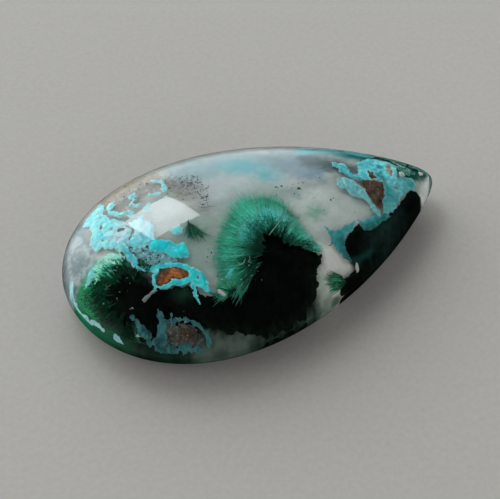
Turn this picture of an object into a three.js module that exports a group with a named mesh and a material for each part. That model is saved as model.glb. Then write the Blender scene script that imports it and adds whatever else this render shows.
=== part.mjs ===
// A pear-shaped cabochon: one polished stone of quartz grown around malachite and chrysocolla.
// It lies on its flat back with its dome up, its pointed end towards +X. Millimetres, +Z up,
// with the origin under the middle of the stone, on the surface that it rests on.
import * as THREE from "three";

// Outline, seen from above.
const LENGTH = 32.0;
const FAR_BELLY = 9.4; // from the long axis to the widest place on the +Y side
const NEAR_BELLY = 10.05; // and on the -Y side, which was ground a little fuller
const FAR_TAPER = 0.7; // how early each side starts to draw in towards the point
const NEAR_TAPER = 0.8;
const TIP_ROUNDING = 0.018; // the point is blunted, so that it doesn't chip

// Section, from the flat back up over the edge to the top of the dome.
const HEIGHT = 6.2;
const EDGE_HEIGHT = 1.5; // the widest level of the stone
const BACK_SCALE = 0.875; // the flat back, as a share of the full outline
const DOME_FULLNESS = 2.28; // 2 would be an elliptical dome, and more is squarer
const APEX_X = -0.5; // the top of the dome lies almost over the middle

// Facets.
const STEPS_ROUND = 96;
const STEPS_BEVEL = 5;
const STEPS_DOME = 22;

const QUARTER_TURN = Math.PI / 2;
const boxShift = (NEAR_BELLY - FAR_BELLY) / 2; // centres the uneven outline on the origin

/** One side's half width before scaling: a sine drawn in towards the point at turn 0. */
function sideCurve(turn, taper) {
  const drawIn = TIP_ROUNDING + (1 - TIP_ROUNDING) * Math.sin(turn / 2) ** 2;
  return Math.sin(turn) * drawIn ** (taper / 2);
}

/** The largest value of sideCurve, found by walking along the side. */
function widestOf(taper) {
  const steps = 400;
  let widest = 0;
  for (let step = 0; step <= steps; step += 1) {
    widest = Math.max(widest, sideCurve((Math.PI * step) / steps, taper));
  }
  return widest;
}

/**
 * A point on the level curve that is `share` of the way out from the apex line to the edge, at a
 * turn from -PI to PI, with 0 at the pointed end. The full outline has share 1. The level curves
 * lose their point as they shrink, so the ridge from the apex to the point is rounded.
 */
function levelPoint(share, turn) {
  const side = Math.abs(turn);
  const belly = turn >= 0 ? FAR_BELLY : -NEAR_BELLY;
  const taper = (turn >= 0 ? FAR_TAPER : NEAR_TAPER) * share;
  const outX = (LENGTH / 2) * Math.cos(side) - APEX_X;
  const outY = (belly * sideCurve(side, taper)) / widestOf(taper);
  return new THREE.Vector2(APEX_X + outX * share, boxShift + outY * share);
}

/** The stone's section as (share of the outline, height), from the back's middle to the apex. */
function sectionProfile() {
  const profile = [new THREE.Vector2(0, 0)];
  for (let step = 0; step < STEPS_BEVEL; step += 1) {
    const angle = (QUARTER_TURN * step) / STEPS_BEVEL;
    const share = BACK_SCALE + (1 - BACK_SCALE) * Math.sin(angle);
    profile.push(new THREE.Vector2(share, EDGE_HEIGHT * (1 - Math.cos(angle))));
  }
  for (let step = 0; step < STEPS_DOME; step += 1) {
    const angle = (QUARTER_TURN * step) / STEPS_DOME;
    const share = Math.cos(angle) ** (2 / DOME_FULLNESS);
    profile.push(new THREE.Vector2(share, EDGE_HEIGHT + (HEIGHT - EDGE_HEIGHT) * Math.sin(angle)));
  }
  profile.push(new THREE.Vector2(0, HEIGHT));
  return profile;
}

/** Turns a round lathed blank into the pear: each ring becomes the outline at its own scale. */
function shapeToPear(geometry) {
  const position = geometry.attributes.position;
  for (let index = 0; index < position.count; index += 1) {
    const share = Math.hypot(position.getX(index), position.getY(index));
    const turn = Math.atan2(position.getY(index), position.getX(index));
    const point = levelPoint(share, turn);
    position.setXY(index, point.x, point.y);
  }
  geometry.computeVertexNormals();
  return geometry;
}

function makeCabochon() {
  const blank = new THREE.LatheGeometry(sectionProfile(), STEPS_ROUND);
  blank.rotateX(QUARTER_TURN);
  const stone = new THREE.MeshStandardMaterial({ color: 0x3f7f78, roughness: 0.06, metalness: 0 });
  const cabochon = new THREE.Mesh(shapeToPear(blank), stone);
  cabochon.name = "cabochon";
  return cabochon;
}

const part = new THREE.Group();
part.add(makeCabochon());

export default part;
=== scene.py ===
"""A pear-shaped cabochon: clear quartz grown around malachite plumes and chrysocolla crusts.

The stone lies on its flat back with its pointed end towards +X. Lengths in the classes below are
in millimetres, and become metres when a mesh is finished.
"""
import logging
import math
from dataclasses import dataclass
from enum import Enum

import bmesh
import bpy
import numpy as np
from mathutils import Matrix, Quaternion, Vector, noise


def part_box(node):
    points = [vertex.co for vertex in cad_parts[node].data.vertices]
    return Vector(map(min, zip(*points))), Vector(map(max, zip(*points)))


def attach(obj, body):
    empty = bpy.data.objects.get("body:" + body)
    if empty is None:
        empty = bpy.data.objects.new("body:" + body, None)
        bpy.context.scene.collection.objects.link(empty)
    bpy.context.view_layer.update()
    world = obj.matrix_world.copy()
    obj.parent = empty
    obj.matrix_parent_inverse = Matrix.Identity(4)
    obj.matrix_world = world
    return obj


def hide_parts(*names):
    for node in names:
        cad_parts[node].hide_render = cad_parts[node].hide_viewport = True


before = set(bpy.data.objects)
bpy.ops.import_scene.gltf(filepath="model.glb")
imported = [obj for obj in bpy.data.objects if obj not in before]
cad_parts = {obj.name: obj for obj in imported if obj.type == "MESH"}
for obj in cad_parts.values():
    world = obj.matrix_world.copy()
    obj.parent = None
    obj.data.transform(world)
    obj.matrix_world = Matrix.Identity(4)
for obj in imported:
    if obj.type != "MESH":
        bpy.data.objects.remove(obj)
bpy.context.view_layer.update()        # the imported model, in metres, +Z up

LOG = logging.getLogger("cabochon")
MM = 0.001
STONE_NODE = "cabochon"
Color = tuple[float, float, float]


def shade(red: int, green: int, blue: int) -> Color:
    """Turn a colour on the usual 0 to 255 scale into a linear one.

    Args:
        red: amount of red.
        green: amount of green.
        blue: amount of blue.

    Returns:
        The linear colour that a shader takes.
    """
    return tuple(((step / 255 + 0.055) / 1.055) ** 2.4 if step > 10 else step / 3294
                 for step in (red, green, blue))


def ease(low: float, high: float, value: np.ndarray) -> np.ndarray:
    """Rise smoothly from 0 at low to 1 at high.

    Args:
        low: where the rise starts.
        high: where it ends.
        value: the numbers to place on the rise.

    Returns:
        The risen numbers, from 0 to 1.
    """
    part = np.clip((value - low) / (high - low), 0.0, 1.0)
    return part * part * (3.0 - 2.0 * part)


def grain(x: np.ndarray, y: np.ndarray, size: float, seed: float, octaves: int = 4) -> np.ndarray:
    """Natural unevenness over the stone's plan.

    Args:
        x: places along the stone.
        y: places across the stone.
        size: width of the largest lumps.
        seed: picks one pattern.
        octaves: how many finer patterns are laid over the first.

    Returns:
        One number for each place, mostly from -1 to 1.
    """
    return np.array([noise.fractal(Vector((a / size, b / size, seed)), 0.9, 2.1, octaves)
                     for a, b in zip(x, y)])


# --- The polished outer shape -----------------------------------------------------------------


@dataclass(frozen=True)
class PearDome:
    """The stone's polished surface, from the CAD piece's box and its few shape numbers."""

    length: float
    width: float
    height: float
    far_share: float = 0.4833       # the +Y side's part of the width
    far_taper: float = 0.7
    near_taper: float = 0.8
    tip_rounding: float = 0.018
    edge_height: float = 1.5
    back_scale: float = 0.875
    fullness: float = 2.28
    apex_x: float = -0.5
    closing: float = 0.45           # how much nearer the skin a sealed layer comes at the edge
    closes_from: float = 0.5        # and how far out it starts to

    @classmethod
    def from_node(cls, node: str) -> "PearDome":
        """Take the length, width and height from the CAD piece.

        Args:
            node: the name of the CAD piece.

        Returns:
            The dome.
        """
        low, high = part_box(node)
        size = (high - low) / MM
        return cls(size.x, size.y, size.z)

    @property
    def belly_far(self) -> float:
        """How far the +Y side reaches from the long axis."""
        return self.width * self.far_share

    @property
    def belly_near(self) -> float:
        """How far the -Y side reaches from the long axis."""
        return self.width - self.belly_far

    @property
    def axis_y(self) -> float:
        """Where the long axis lies once the outline is centred."""
        return (self.belly_near - self.belly_far) / 2

    def side_curve(self, cosine: np.ndarray, taper: np.ndarray) -> np.ndarray:
        """One side's half width before scaling, at the cosine of the turn from the tip."""
        draw_in = self.tip_rounding + (1 - self.tip_rounding) * (1 - cosine) / 2
        return np.sqrt(np.clip(1 - cosine * cosine, 0, 1)) * draw_in ** (taper / 2)

    def widest(self, taper: np.ndarray) -> np.ndarray:
        """The largest side_curve for each taper.

        Args:
            taper: the tapers.

        Returns:
            The largest half width for each.
        """
        tapers = np.linspace(0, max(self.far_taper, self.near_taper), 41)
        turns = np.cos(np.linspace(0, math.pi, 401))
        peaks = [self.side_curve(turns, one).max() for one in tapers]
        return np.interp(taper, tapers, peaks)

    def level_point(self, share: np.ndarray, turn: np.ndarray) -> tuple[np.ndarray, np.ndarray]:
        """A point of the level curve that lies a share of the way out from the apex.

        Args:
            share: 0 at the apex and 1 at the edge.
            turn: from -pi to pi, with 0 at the pointed end.

        Returns:
            The point's x and y.
        """
        far = turn >= 0
        taper = np.where(far, self.far_taper, self.near_taper) * share
        belly = np.where(far, self.belly_far, -self.belly_near)
        cosine = np.cos(turn)
        out_x = self.length / 2 * cosine - self.apex_x
        out_y = belly * self.side_curve(cosine, taper) / self.widest(taper)
        return self.apex_x + out_x * share, self.axis_y + out_y * share

    def share_at(self, x: np.ndarray, y: np.ndarray) -> np.ndarray:
        """Find how far out each place lies, by halving.

        Args:
            x: places along the stone.
            y: places across it.

        Returns:
            0 at the apex, 1 on the edge and up to 1.3 past it.
        """
        low, high = np.full(len(x), 1e-4), np.full(len(x), 1.3)
        far = y >= self.axis_y
        belly = np.where(far, self.belly_far, self.belly_near)
        side_taper = np.where(far, self.far_taper, self.near_taper)
        for _ in range(26):
            middle = (low + high) / 2
            cosine = ((x - self.apex_x) / middle + self.apex_x) / (self.length / 2)
            taper = side_taper * np.minimum(middle, 1)
            half = belly * self.side_curve(np.clip(cosine, -1, 1), taper) / self.widest(taper) * middle
            inside = (np.abs(cosine) <= 1) & (np.abs(y - self.axis_y) <= half)
            high = np.where(inside, middle, high)
            low = np.where(inside, low, middle)
        return high

    def height_of(self, share: np.ndarray) -> np.ndarray:
        """The dome's height at a share of the way out.

        Args:
            share: how far out each place lies.

        Returns:
            Its height over the flat back.
        """
        across = np.clip(share, 0, 1) ** (self.fullness / 2)
        rise = np.sqrt(np.clip(1 - across * across, 0, 1))
        return self.edge_height + (self.height - self.edge_height) * rise

    def underside_of(self, share: np.ndarray) -> np.ndarray:
        """The height of the stone's rounded lower edge at a share of the way out."""
        sine = np.clip((share - self.back_scale) / (1 - self.back_scale), 0, 1)
        return self.edge_height * (1 - np.sqrt(1 - sine * sine))

    def under(self, share: np.ndarray, depth: float | np.ndarray) -> np.ndarray:
        """The height of a layer below the dome, which closes up on it towards the edge.

        Args:
            share: how far out each place lies.
            depth: how deep the layer lies at the apex.

        Returns:
            The layer's height.
        """
        return self.height_of(share) - depth * (1 - self.closing * ease(self.closes_from, 1.0, share))


# --- Places on the stone ----------------------------------------------------------------------


@dataclass(frozen=True)
class Spot:
    """A round or oval place."""

    x: float
    y: float
    radius: float
    stretch: float = 1.0    # length over width
    turn: float = 0.0       # degrees from +X

    def distance(self, x: np.ndarray, y: np.ndarray) -> np.ndarray:
        """How far each place lies outside the spot, less than 0 inside.

        Args:
            x: places along the stone.
            y: places across it.

        Returns:
            The distance to the border.
        """
        angle = math.radians(self.turn)
        along = (x - self.x) * math.cos(angle) + (y - self.y) * math.sin(angle)
        across = (y - self.y) * math.cos(angle) - (x - self.x) * math.sin(angle)
        return np.hypot(along / self.stretch, across) - self.radius


@dataclass(frozen=True)
class Vein:
    """A strand along a few points, with a half width at its start and its end."""

    points: tuple[tuple[float, float], ...]
    start: float
    end: float

    def distance(self, x: np.ndarray, y: np.ndarray) -> np.ndarray:
        """How far each place lies outside the strand, less than 0 inside.

        Args:
            x: places along the stone.
            y: places across it.

        Returns:
            The distance to the border.
        """
        nearest = np.full(len(x), 1e9)
        parts = len(self.points) - 1
        for index, (first, last) in enumerate(zip(self.points, self.points[1:])):
            run = (last[0] - first[0], last[1] - first[1])
            square = run[0] ** 2 + run[1] ** 2
            along = np.clip(((x - first[0]) * run[0] + (y - first[1]) * run[1]) / square, 0, 1)
            gap = np.hypot(x - first[0] - along * run[0], y - first[1] - along * run[1])
            half = self.start + (self.end - self.start) * (index + along) / parts
            nearest = np.minimum(nearest, gap - half)
        return nearest


@dataclass(frozen=True)
class Patch:
    """A flat patch inside a few corners."""

    corners: tuple[tuple[float, float], ...]

    def distance(self, x: np.ndarray, y: np.ndarray) -> np.ndarray:
        """How far each place lies outside the patch, less than 0 inside.

        Args:
            x: places along the stone.
            y: places across it.

        Returns:
            The distance to the border.
        """
        nearest = np.full(len(x), 1e9)
        inside = np.zeros(len(x), dtype=bool)
        for first, last in zip(self.corners, self.corners[1:] + self.corners[:1]):
            run = (last[0] - first[0], last[1] - first[1])
            along = ((x - first[0]) * run[0] + (y - first[1]) * run[1]) / (run[0] ** 2 + run[1] ** 2)
            along = np.clip(along, 0, 1)
            gap = np.hypot(x - first[0] - along * run[0], y - first[1] - along * run[1])
            nearest = np.minimum(nearest, gap)
            if run[1]:
                crossing = (first[1] > y) != (last[1] > y)
                inside ^= crossing & (x < first[0] + (y - first[1]) / run[1] * run[0])
        return np.where(inside, -nearest, nearest)


Shape = Spot | Vein | Patch


@dataclass(frozen=True)
class Region:
    """Spots, strands and patches grown together, with a ragged natural border."""

    shapes: tuple[Shape, ...]
    holes: tuple[Shape, ...] = ()
    ragged: float = 0.2     # how far the border wanders
    size: float = 0.8       # how long its bays are
    seed: float = 0.0
    lace: float = 0.0       # how much of it is open with ragged pores, from 0 to 1

    def distance(self, x: np.ndarray, y: np.ndarray) -> np.ndarray:
        """How far each place lies outside the region, less than 0 inside.

        Args:
            x: places along the stone.
            y: places across it.

        Returns:
            About the distance to the ragged border.
        """
        plain = self.plain_distance(x, y)
        close = np.abs(plain) < 3 * self.ragged + 0.05
        if not close.any():
            return plain
        u, v = x[close], y[close]
        shift_x = self.ragged * grain(u, v, self.size, self.seed + 11.7, 3)
        shift_y = self.ragged * grain(u, v, self.size, self.seed + 23.9, 3)
        rough = grain(u, v, self.size * 0.6, self.seed + 3.1, 4)
        plain[close] = self.plain_distance(u + shift_x, v + shift_y) + self.ragged * 0.8 * rough
        if self.lace:
            inner = plain < 0
            pores = grain(x[inner], y[inner], self.size, self.seed + 71.9, 4) - (0.75 - self.lace)
            plain[inner] = np.maximum(plain[inner], pores * self.size * 0.8)
        return plain

    def plain_distance(self, x: np.ndarray, y: np.ndarray) -> np.ndarray:
        """The distance to the border before it is roughened.

        Args:
            x: places along the stone.
            y: places across it.

        Returns:
            The distance, less than 0 inside.
        """
        near = np.full(len(x), 1e9)
        for shape in self.shapes:
            near = np.minimum(near, shape.distance(x, y))
        for hole in self.holes:
            near = np.maximum(near, -hole.distance(x, y))
        return near

    def reach(self, margin: float) -> tuple[float, float, float, float]:
        """The box around the region as low x, low y, high x and high y.

        Args:
            margin: how much wider the box is than the region, on every side.

        Returns:
            The four limits.
        """
        xs, ys = [], []
        for shape in self.shapes:
            if isinstance(shape, Spot):
                wide = shape.radius * max(shape.stretch, 1)
                xs += [shape.x - wide, shape.x + wide]
                ys += [shape.y - wide, shape.y + wide]
            elif isinstance(shape, Patch):
                xs += [corner[0] for corner in shape.corners]
                ys += [corner[1] for corner in shape.corners]
            else:
                wide = max(shape.start, shape.end)
                xs += [point[0] + side * wide for point in shape.points for side in (-1, 1)]
                ys += [point[1] + side * wide for point in shape.points for side in (-1, 1)]
        return min(xs) - margin, min(ys) - margin, max(xs) + margin, max(ys) + margin


@dataclass(frozen=True)
class Wash:
    """A colour washed over one region of a piece."""

    region: Region
    color: Color
    soft: float             # width of its faded border
    strength: float = 1.0

    def over(self, colors: np.ndarray, x: np.ndarray, y: np.ndarray) -> np.ndarray:
        """Lay the wash over colours.

        Args:
            colors: red, green and blue for each place.
            x: places along the stone.
            y: places across it.

        Returns:
            The washed colours.
        """
        cover = ease(self.soft, -self.soft, self.region.distance(x, y)) * self.strength
        return colors + (np.array(self.color) - colors) * cover[:, None]


# --- Finishes ---------------------------------------------------------------------------------


class Slot(Enum):
    """The record's material slots."""

    QUARTZ = "quartz"
    CHALCEDONY = "chalcedony"
    MALACHITE = "malachite"
    CHRYSOCOLLA = "chrysocolla"
    IRON = "iron_stain"
    BLACK = "black_oxide"


def fill(node: bpy.types.Node, inputs: dict[int | str, object]) -> None:
    """Fill a shader node's inputs.

    Args:
        node: the node.
        inputs: for each input, the plain value it holds or the socket that feeds it.
    """
    for key, value in inputs.items():
        if isinstance(value, bpy.types.NodeSocket):
            node.id_data.links.new(value, node.inputs[key])
        else:
            node.inputs[key].default_value = value


def add_node(tree: bpy.types.NodeTree, kind: str, inputs: dict[int | str, object] | None = None,
             **options: object) -> bpy.types.Node:
    """Add a shader node.

    Args:
        tree: the node tree that it joins.
        kind: its Blender type, without the words ShaderNode in front.
        inputs: its inputs, as fill takes them.
        options: its other settings.

    Returns:
        The node.
    """
    node = tree.nodes.new("ShaderNode" + kind)
    for option, value in options.items():
        setattr(node, option, value)
    fill(node, inputs or {})
    return node


def new_material(name: str) -> tuple[bpy.types.Material, bpy.types.Node]:
    """Start a material.

    Args:
        name: its name.

    Returns:
        The material and its main shader.
    """
    made = bpy.data.materials.new(name)
    made.use_nodes = True
    return made, made.node_tree.nodes["Principled BSDF"]


@dataclass(frozen=True)
class ClearQuartz:
    """Colourless quartz with a high hand polish."""

    color: Color = (0.97, 0.985, 0.98)
    ior: float = 1.544
    roughness: float = 0.015
    wave: float = 0.02          # how strongly the polish is waved
    wave_scale: float = 260.0   # waves in a metre
    wave_height: float = 0.0004  # metres

    def material(self) -> bpy.types.Material:
        """Build the see-through finish.

        Returns:
            The material, with a faint waviness in its polish.
        """
        made, shader = new_material("clear_quartz")
        tree = made.node_tree
        place = add_node(tree, "TexCoord")
        ripple = add_node(tree, "TexNoise", {"Vector": place.outputs["Object"],
                                             "Scale": self.wave_scale, "Detail": 2.0})
        bump = add_node(tree, "Bump", {"Height": ripple.outputs["Fac"], "Strength": self.wave,
                                       "Distance": self.wave_height})
        fill(shader, {"Base Color": (*self.color, 1), "Transmission Weight": 1.0, "IOR": self.ior,
                      "Roughness": self.roughness, "Normal": bump.outputs["Normal"]})
        return made


@dataclass(frozen=True)
class GrownMineral:
    """A mineral inside the quartz: its own painted colour, mottled and roughened by grain."""

    name: str
    roughness: float
    mottle: float           # how much lighter and darker the grain makes it
    grain_size: float       # width of the grain
    relief: float           # height of the grain's bumps
    gloss: float = 0.12

    def material(self) -> bpy.types.Material:
        """Build the finish on the mesh's paint attribute.

        Returns:
            The material.
        """
        made, shader = new_material(self.name)
        tree = made.node_tree
        paint = add_node(tree, "Attribute", attribute_name="paint")
        place = add_node(tree, "TexCoord")
        speckle = add_node(tree, "TexNoise", {"Vector": place.outputs["Object"],
                                              "Scale": 1 / (self.grain_size * MM),
                                              "Detail": 5.0, "Roughness": 0.6})
        grain_level = speckle.outputs["Fac"]
        level = add_node(tree, "MapRange", {"Value": grain_level, "From Min": 0.3, "From Max": 0.7,
                                            "To Min": 1 - self.mottle, "To Max": 1 + self.mottle})
        mottled = add_node(tree, "VectorMath", {0: paint.outputs["Color"], 1: level.outputs["Result"]},
                           operation="MULTIPLY")
        bump = add_node(tree, "Bump", {"Height": grain_level, "Strength": 1.0,
                                       "Distance": self.relief * MM})
        fill(shader, {"Base Color": mottled.outputs["Vector"], "Roughness": self.roughness,
                      "Specular IOR Level": self.gloss, "Normal": bump.outputs["Normal"]})
        return made


@dataclass(frozen=True)
class PlainFinish:
    """One colour with a fine grain, for the floor and the smallest grains."""

    name: str
    color: Color
    roughness: float
    grain_size: float = 0.4

    def material(self) -> bpy.types.Material:
        """Build the finish.

        Returns:
            The material.
        """
        made, shader = new_material(self.name)
        tree = made.node_tree
        place = add_node(tree, "TexCoord")
        speckle = add_node(tree, "TexNoise", {"Vector": place.outputs["Object"],
                                              "Scale": 1 / (self.grain_size * MM), "Detail": 4.0})
        dark, light = ((*[part * tone for part in self.color], 1) for tone in (0.9, 1.08))
        blend = add_node(tree, "Mix", {"Factor": speckle.outputs["Fac"], "A": dark, "B": light},
                         data_type="RGBA")
        fill(shader, {"Base Color": blend.outputs["Result"], "Roughness": self.roughness})
        return made


# --- Turning meshes into pieces ---------------------------------------------------------------


def finish_piece(name: str, mesh: bpy.types.Mesh, material: bpy.types.Material) -> bpy.types.Object:
    """Put a mesh modelled in millimetres into the scene as one piece of the stone.

    Args:
        name: the piece's name.
        mesh: its mesh, in millimetres.
        material: its finish.

    Returns:
        The piece, in metres, riding on the stone.
    """
    mesh.transform(Matrix.Scale(MM, 4))
    mesh.name = name
    mesh.shade_smooth()
    mesh.materials.append(material)
    piece = bpy.data.objects.new(name, mesh)
    bpy.context.scene.collection.objects.link(piece)
    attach(piece, "root")
    LOG.info("%s: %d faces", name, len(mesh.polygons))
    return piece


def paint_points(mesh: bpy.types.Mesh, colors: np.ndarray) -> None:
    """Store one colour for each of a mesh's points.

    Args:
        mesh: the mesh to paint.
        colors: red, green and blue for each point.
    """
    layer = mesh.color_attributes.new("paint", "FLOAT_COLOR", "POINT")
    full = np.ones((len(mesh.vertices), 4), dtype=np.float32)
    full[:, :3] = np.clip(colors, 0, 1)
    layer.data.foreach_set("color", full.ravel())


def places_of(mesh: bpy.types.Mesh) -> np.ndarray:
    """A mesh's points as rows of x, y and z.

    Args:
        mesh: the mesh.

    Returns:
        An array with a row for each point.
    """
    flat = np.empty(len(mesh.vertices) * 3, dtype=np.float32)
    mesh.vertices.foreach_get("co", flat)
    return flat.reshape(-1, 3).astype(float)


def move_points(mesh: bpy.types.Mesh, places: np.ndarray) -> None:
    """Move a mesh's points to rows of x, y and z."""
    mesh.vertices.foreach_set("co", places.astype(np.float32).ravel())
    mesh.update()


def mesh_from(bm: bmesh.types.BMesh, name: str) -> bpy.types.Mesh:
    """Turn a bmesh into a mesh and free it.

    Args:
        bm: the bmesh.
        name: the name of the mesh.

    Returns:
        The mesh.
    """
    mesh = bpy.data.meshes.new(name)
    bm.to_mesh(mesh)
    bm.free()
    return mesh


# --- The quartz and its cloudy bed --------------------------------------------------------------


@dataclass(frozen=True)
class TurnedStone:
    """A closed body lathed round and then drawn out into the pear."""

    dome: PearDome
    steps_round: int = 240
    steps_up: int = 72

    def blank(self, profile: list[tuple[float, float]]) -> bmesh.types.BMesh:
        """Spin a section of (share of the way out, height) into a closed round blank.

        Args:
            profile: the section, which starts and ends on the axis.

        Returns:
            The blank, one unit in radius.
        """
        bm = bmesh.new()
        rim = [bm.verts.new((share, 0, height)) for share, height in profile]
        edges = [bm.edges.new(pair) for pair in zip(rim, rim[1:])]
        bmesh.ops.spin(bm, geom=rim + edges, cent=(0, 0, 0), axis=(0, 0, 1), dvec=(0, 0, 0),
                       angle=math.tau, steps=self.steps_round, use_merge=True,
                       use_normal_flip=False, use_duplicate=False)
        bmesh.ops.remove_doubles(bm, verts=bm.verts, dist=1e-6)
        bmesh.ops.recalc_face_normals(bm, faces=bm.faces)
        return bm

    def section(self) -> list[tuple[float, float]]:
        """The polished stone's own section, from the flat back over the edge to the apex.

        Returns:
            Points of (share of the way out, height).
        """
        dome = self.dome
        bevel_steps = 10
        points = [(0.0, 0.0), (dome.back_scale * 0.5, 0.0)]
        for step in range(bevel_steps):
            angle = math.pi / 2 * step / bevel_steps
            share = dome.back_scale + (1 - dome.back_scale) * math.sin(angle)
            points.append((share, dome.edge_height * (1 - math.cos(angle))))
        for step in range(self.steps_up):
            angle = math.pi / 2 * step / self.steps_up
            rise = (dome.height - dome.edge_height) * math.sin(angle)
            points.append((math.cos(angle) ** (2 / dome.fullness), dome.edge_height + rise))
        return points + [(0.0, dome.height)]

    def drawn_out(self, bm: bmesh.types.BMesh, name: str) -> bpy.types.Mesh:
        """Draw a round blank out into the pear's level curves.

        Args:
            bm: the blank.
            name: the mesh's name.

        Returns:
            The mesh, in millimetres.
        """
        mesh = mesh_from(bm, name)
        places = places_of(mesh)
        share = np.hypot(places[:, 0], places[:, 1])
        turn = np.arctan2(places[:, 1], places[:, 0])
        places[:, 0], places[:, 1] = self.dome.level_point(share, turn)
        move_points(mesh, places)
        return mesh


@dataclass(frozen=True)
class QuartzDome:
    """The clear polished quartz that holds everything else."""

    dome: PearDome
    finish: ClearQuartz = ClearQuartz()

    def build(self) -> bpy.types.Object:
        """Lathe, draw out and polish the quartz.

        Returns:
            The piece, which stands for the whole CAD stone.
        """
        turned = TurnedStone(self.dome)
        mesh = turned.drawn_out(turned.blank(turned.section()), "quartz_dome")
        piece = finish_piece("quartz_dome", mesh, self.finish.material())
        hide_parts(STONE_NODE)
        return piece


@dataclass(frozen=True)
class ChalcedonyBed:
    """The cloudy quartz that fills the stone below its clear skin, coloured in washes."""

    dome: PearDome
    washes: tuple[Wash, ...]
    ground: Color
    cover: float = 1.1          # clear quartz over the bed
    floor_gap: float = 0.1      # clear quartz under it
    clear_blunt: float = 0.05   # the share of clear quartz left at the blunt end
    clear_tip: float = 0.04     # at the point
    clear_far: float = 0.035    # along the far side
    clear_near: float = 0.012   # and along the near side
    foot: float = 0.4           # the height of the wall's foot
    foot_share: float = 0.96    # and how far out it is
    wall_rows: int = 9          # rows of points up the wall, for its colours
    wall_step: float = 0.05     # how much the wall's section rises, which tells its rows apart
    top_from: float = 0.6       # where the top begins, as a share of the edge's height
    wander: float = 1.6         # how far the colours stray down the far wall
    finish: GrownMineral = GrownMineral("cloudy_chalcedony", 0.55, 0.10, 0.9, 0.02)

    def section(self) -> list[tuple[float, float]]:
        """The bed's section as shares of its own outline and heights.

        Returns:
            Points of (share of its own outline, height).
        """
        dome = self.dome
        steps = 96
        points = [(0.0, self.floor_gap), (0.5, self.floor_gap)]
        points += [(share, self.floor_gap) for share in (0.75, 0.84)]
        points += [(0.91, self.floor_gap + 0.08), (self.foot_share, self.foot)]
        points += [(self.foot_share + (1 - self.foot_share) * part, self.foot + self.wall_step * part)
                   for part in np.linspace(0, 1, self.wall_rows + 2)[1:-1]]
        for step in range(steps):
            share = math.cos(math.pi / 2 * step / steps) ** (2 / dome.fullness)
            points.append((share, float(dome.under(np.array(share), self.cover))))
        return points + [(0.0, dome.height - self.cover)]

    def reach(self, turn: np.ndarray) -> np.ndarray:
        """How far out the bed goes at each turn from the tip, as a share of the outline.

        Args:
            turn: turns from the tip, in radians.

        Returns:
            The shares.
        """
        blunt = np.where(turn > 0, ease(2.2, 2.85, turn), ease(-2.75, -3.1, turn))
        tip = ease(0.5, 0.15, np.abs(turn))
        side = np.where(turn > 0, self.clear_far, self.clear_near)
        clear = side + (self.clear_blunt - side) * blunt + (self.clear_tip - side) * tip
        return 1 - clear

    def build(self) -> bpy.types.Object:
        """Shape the bed and wash its colours on.

        Returns:
            The piece.
        """
        bm = TurnedStone(self.dome, steps_round=400).blank(self.section())
        mesh = mesh_from(bm, "chalcedony_bed")
        places = places_of(mesh)
        turn = np.arctan2(places[:, 1], places[:, 0])
        outward = np.hypot(places[:, 0], places[:, 1])
        share = outward * self.reach(turn)
        x, y = self.dome.level_point(share, turn)
        on_top = places[:, 2] > self.dome.edge_height * self.top_from
        up_the_wall = (outward - self.foot_share) / (1 - self.foot_share)
        on_wall = (up_the_wall > 0) & ~on_top
        rise = (self.dome.under(self.reach(turn), self.cover) - self.foot) * up_the_wall
        places[:, 0], places[:, 1] = x, y
        places[:, 2] = np.where(on_top, self.dome.under(share, self.cover), places[:, 2])
        places[:, 2] = np.where(on_wall, self.foot + rise, places[:, 2])
        move_points(mesh, places)
        height, edge = places[:, 2], self.dome.edge_height
        down_the_wall = ease(edge + 0.4, edge - 1.2, height) * ease(-1.5, 1.5, y)
        aside = self.wander * down_the_wall * grain(x + 1.7 * height, y - 1.1 * height, 2.2, 31.0)
        colors = np.tile(np.array(self.ground), (len(x), 1))
        for wash in self.washes:
            colors = wash.over(colors, x + aside, y - aside)
        paint_points(mesh, colors)
        return finish_piece("chalcedony_bed", mesh, self.finish.material())


# --- Crusts, lumps and stains -------------------------------------------------------------------


@dataclass(frozen=True)
class Tints:
    """The colours of a crust: its body, its deeper places and its thin border."""

    body: Color
    deep: Color
    rim: Color
    rim_width: float = 0.12


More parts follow.
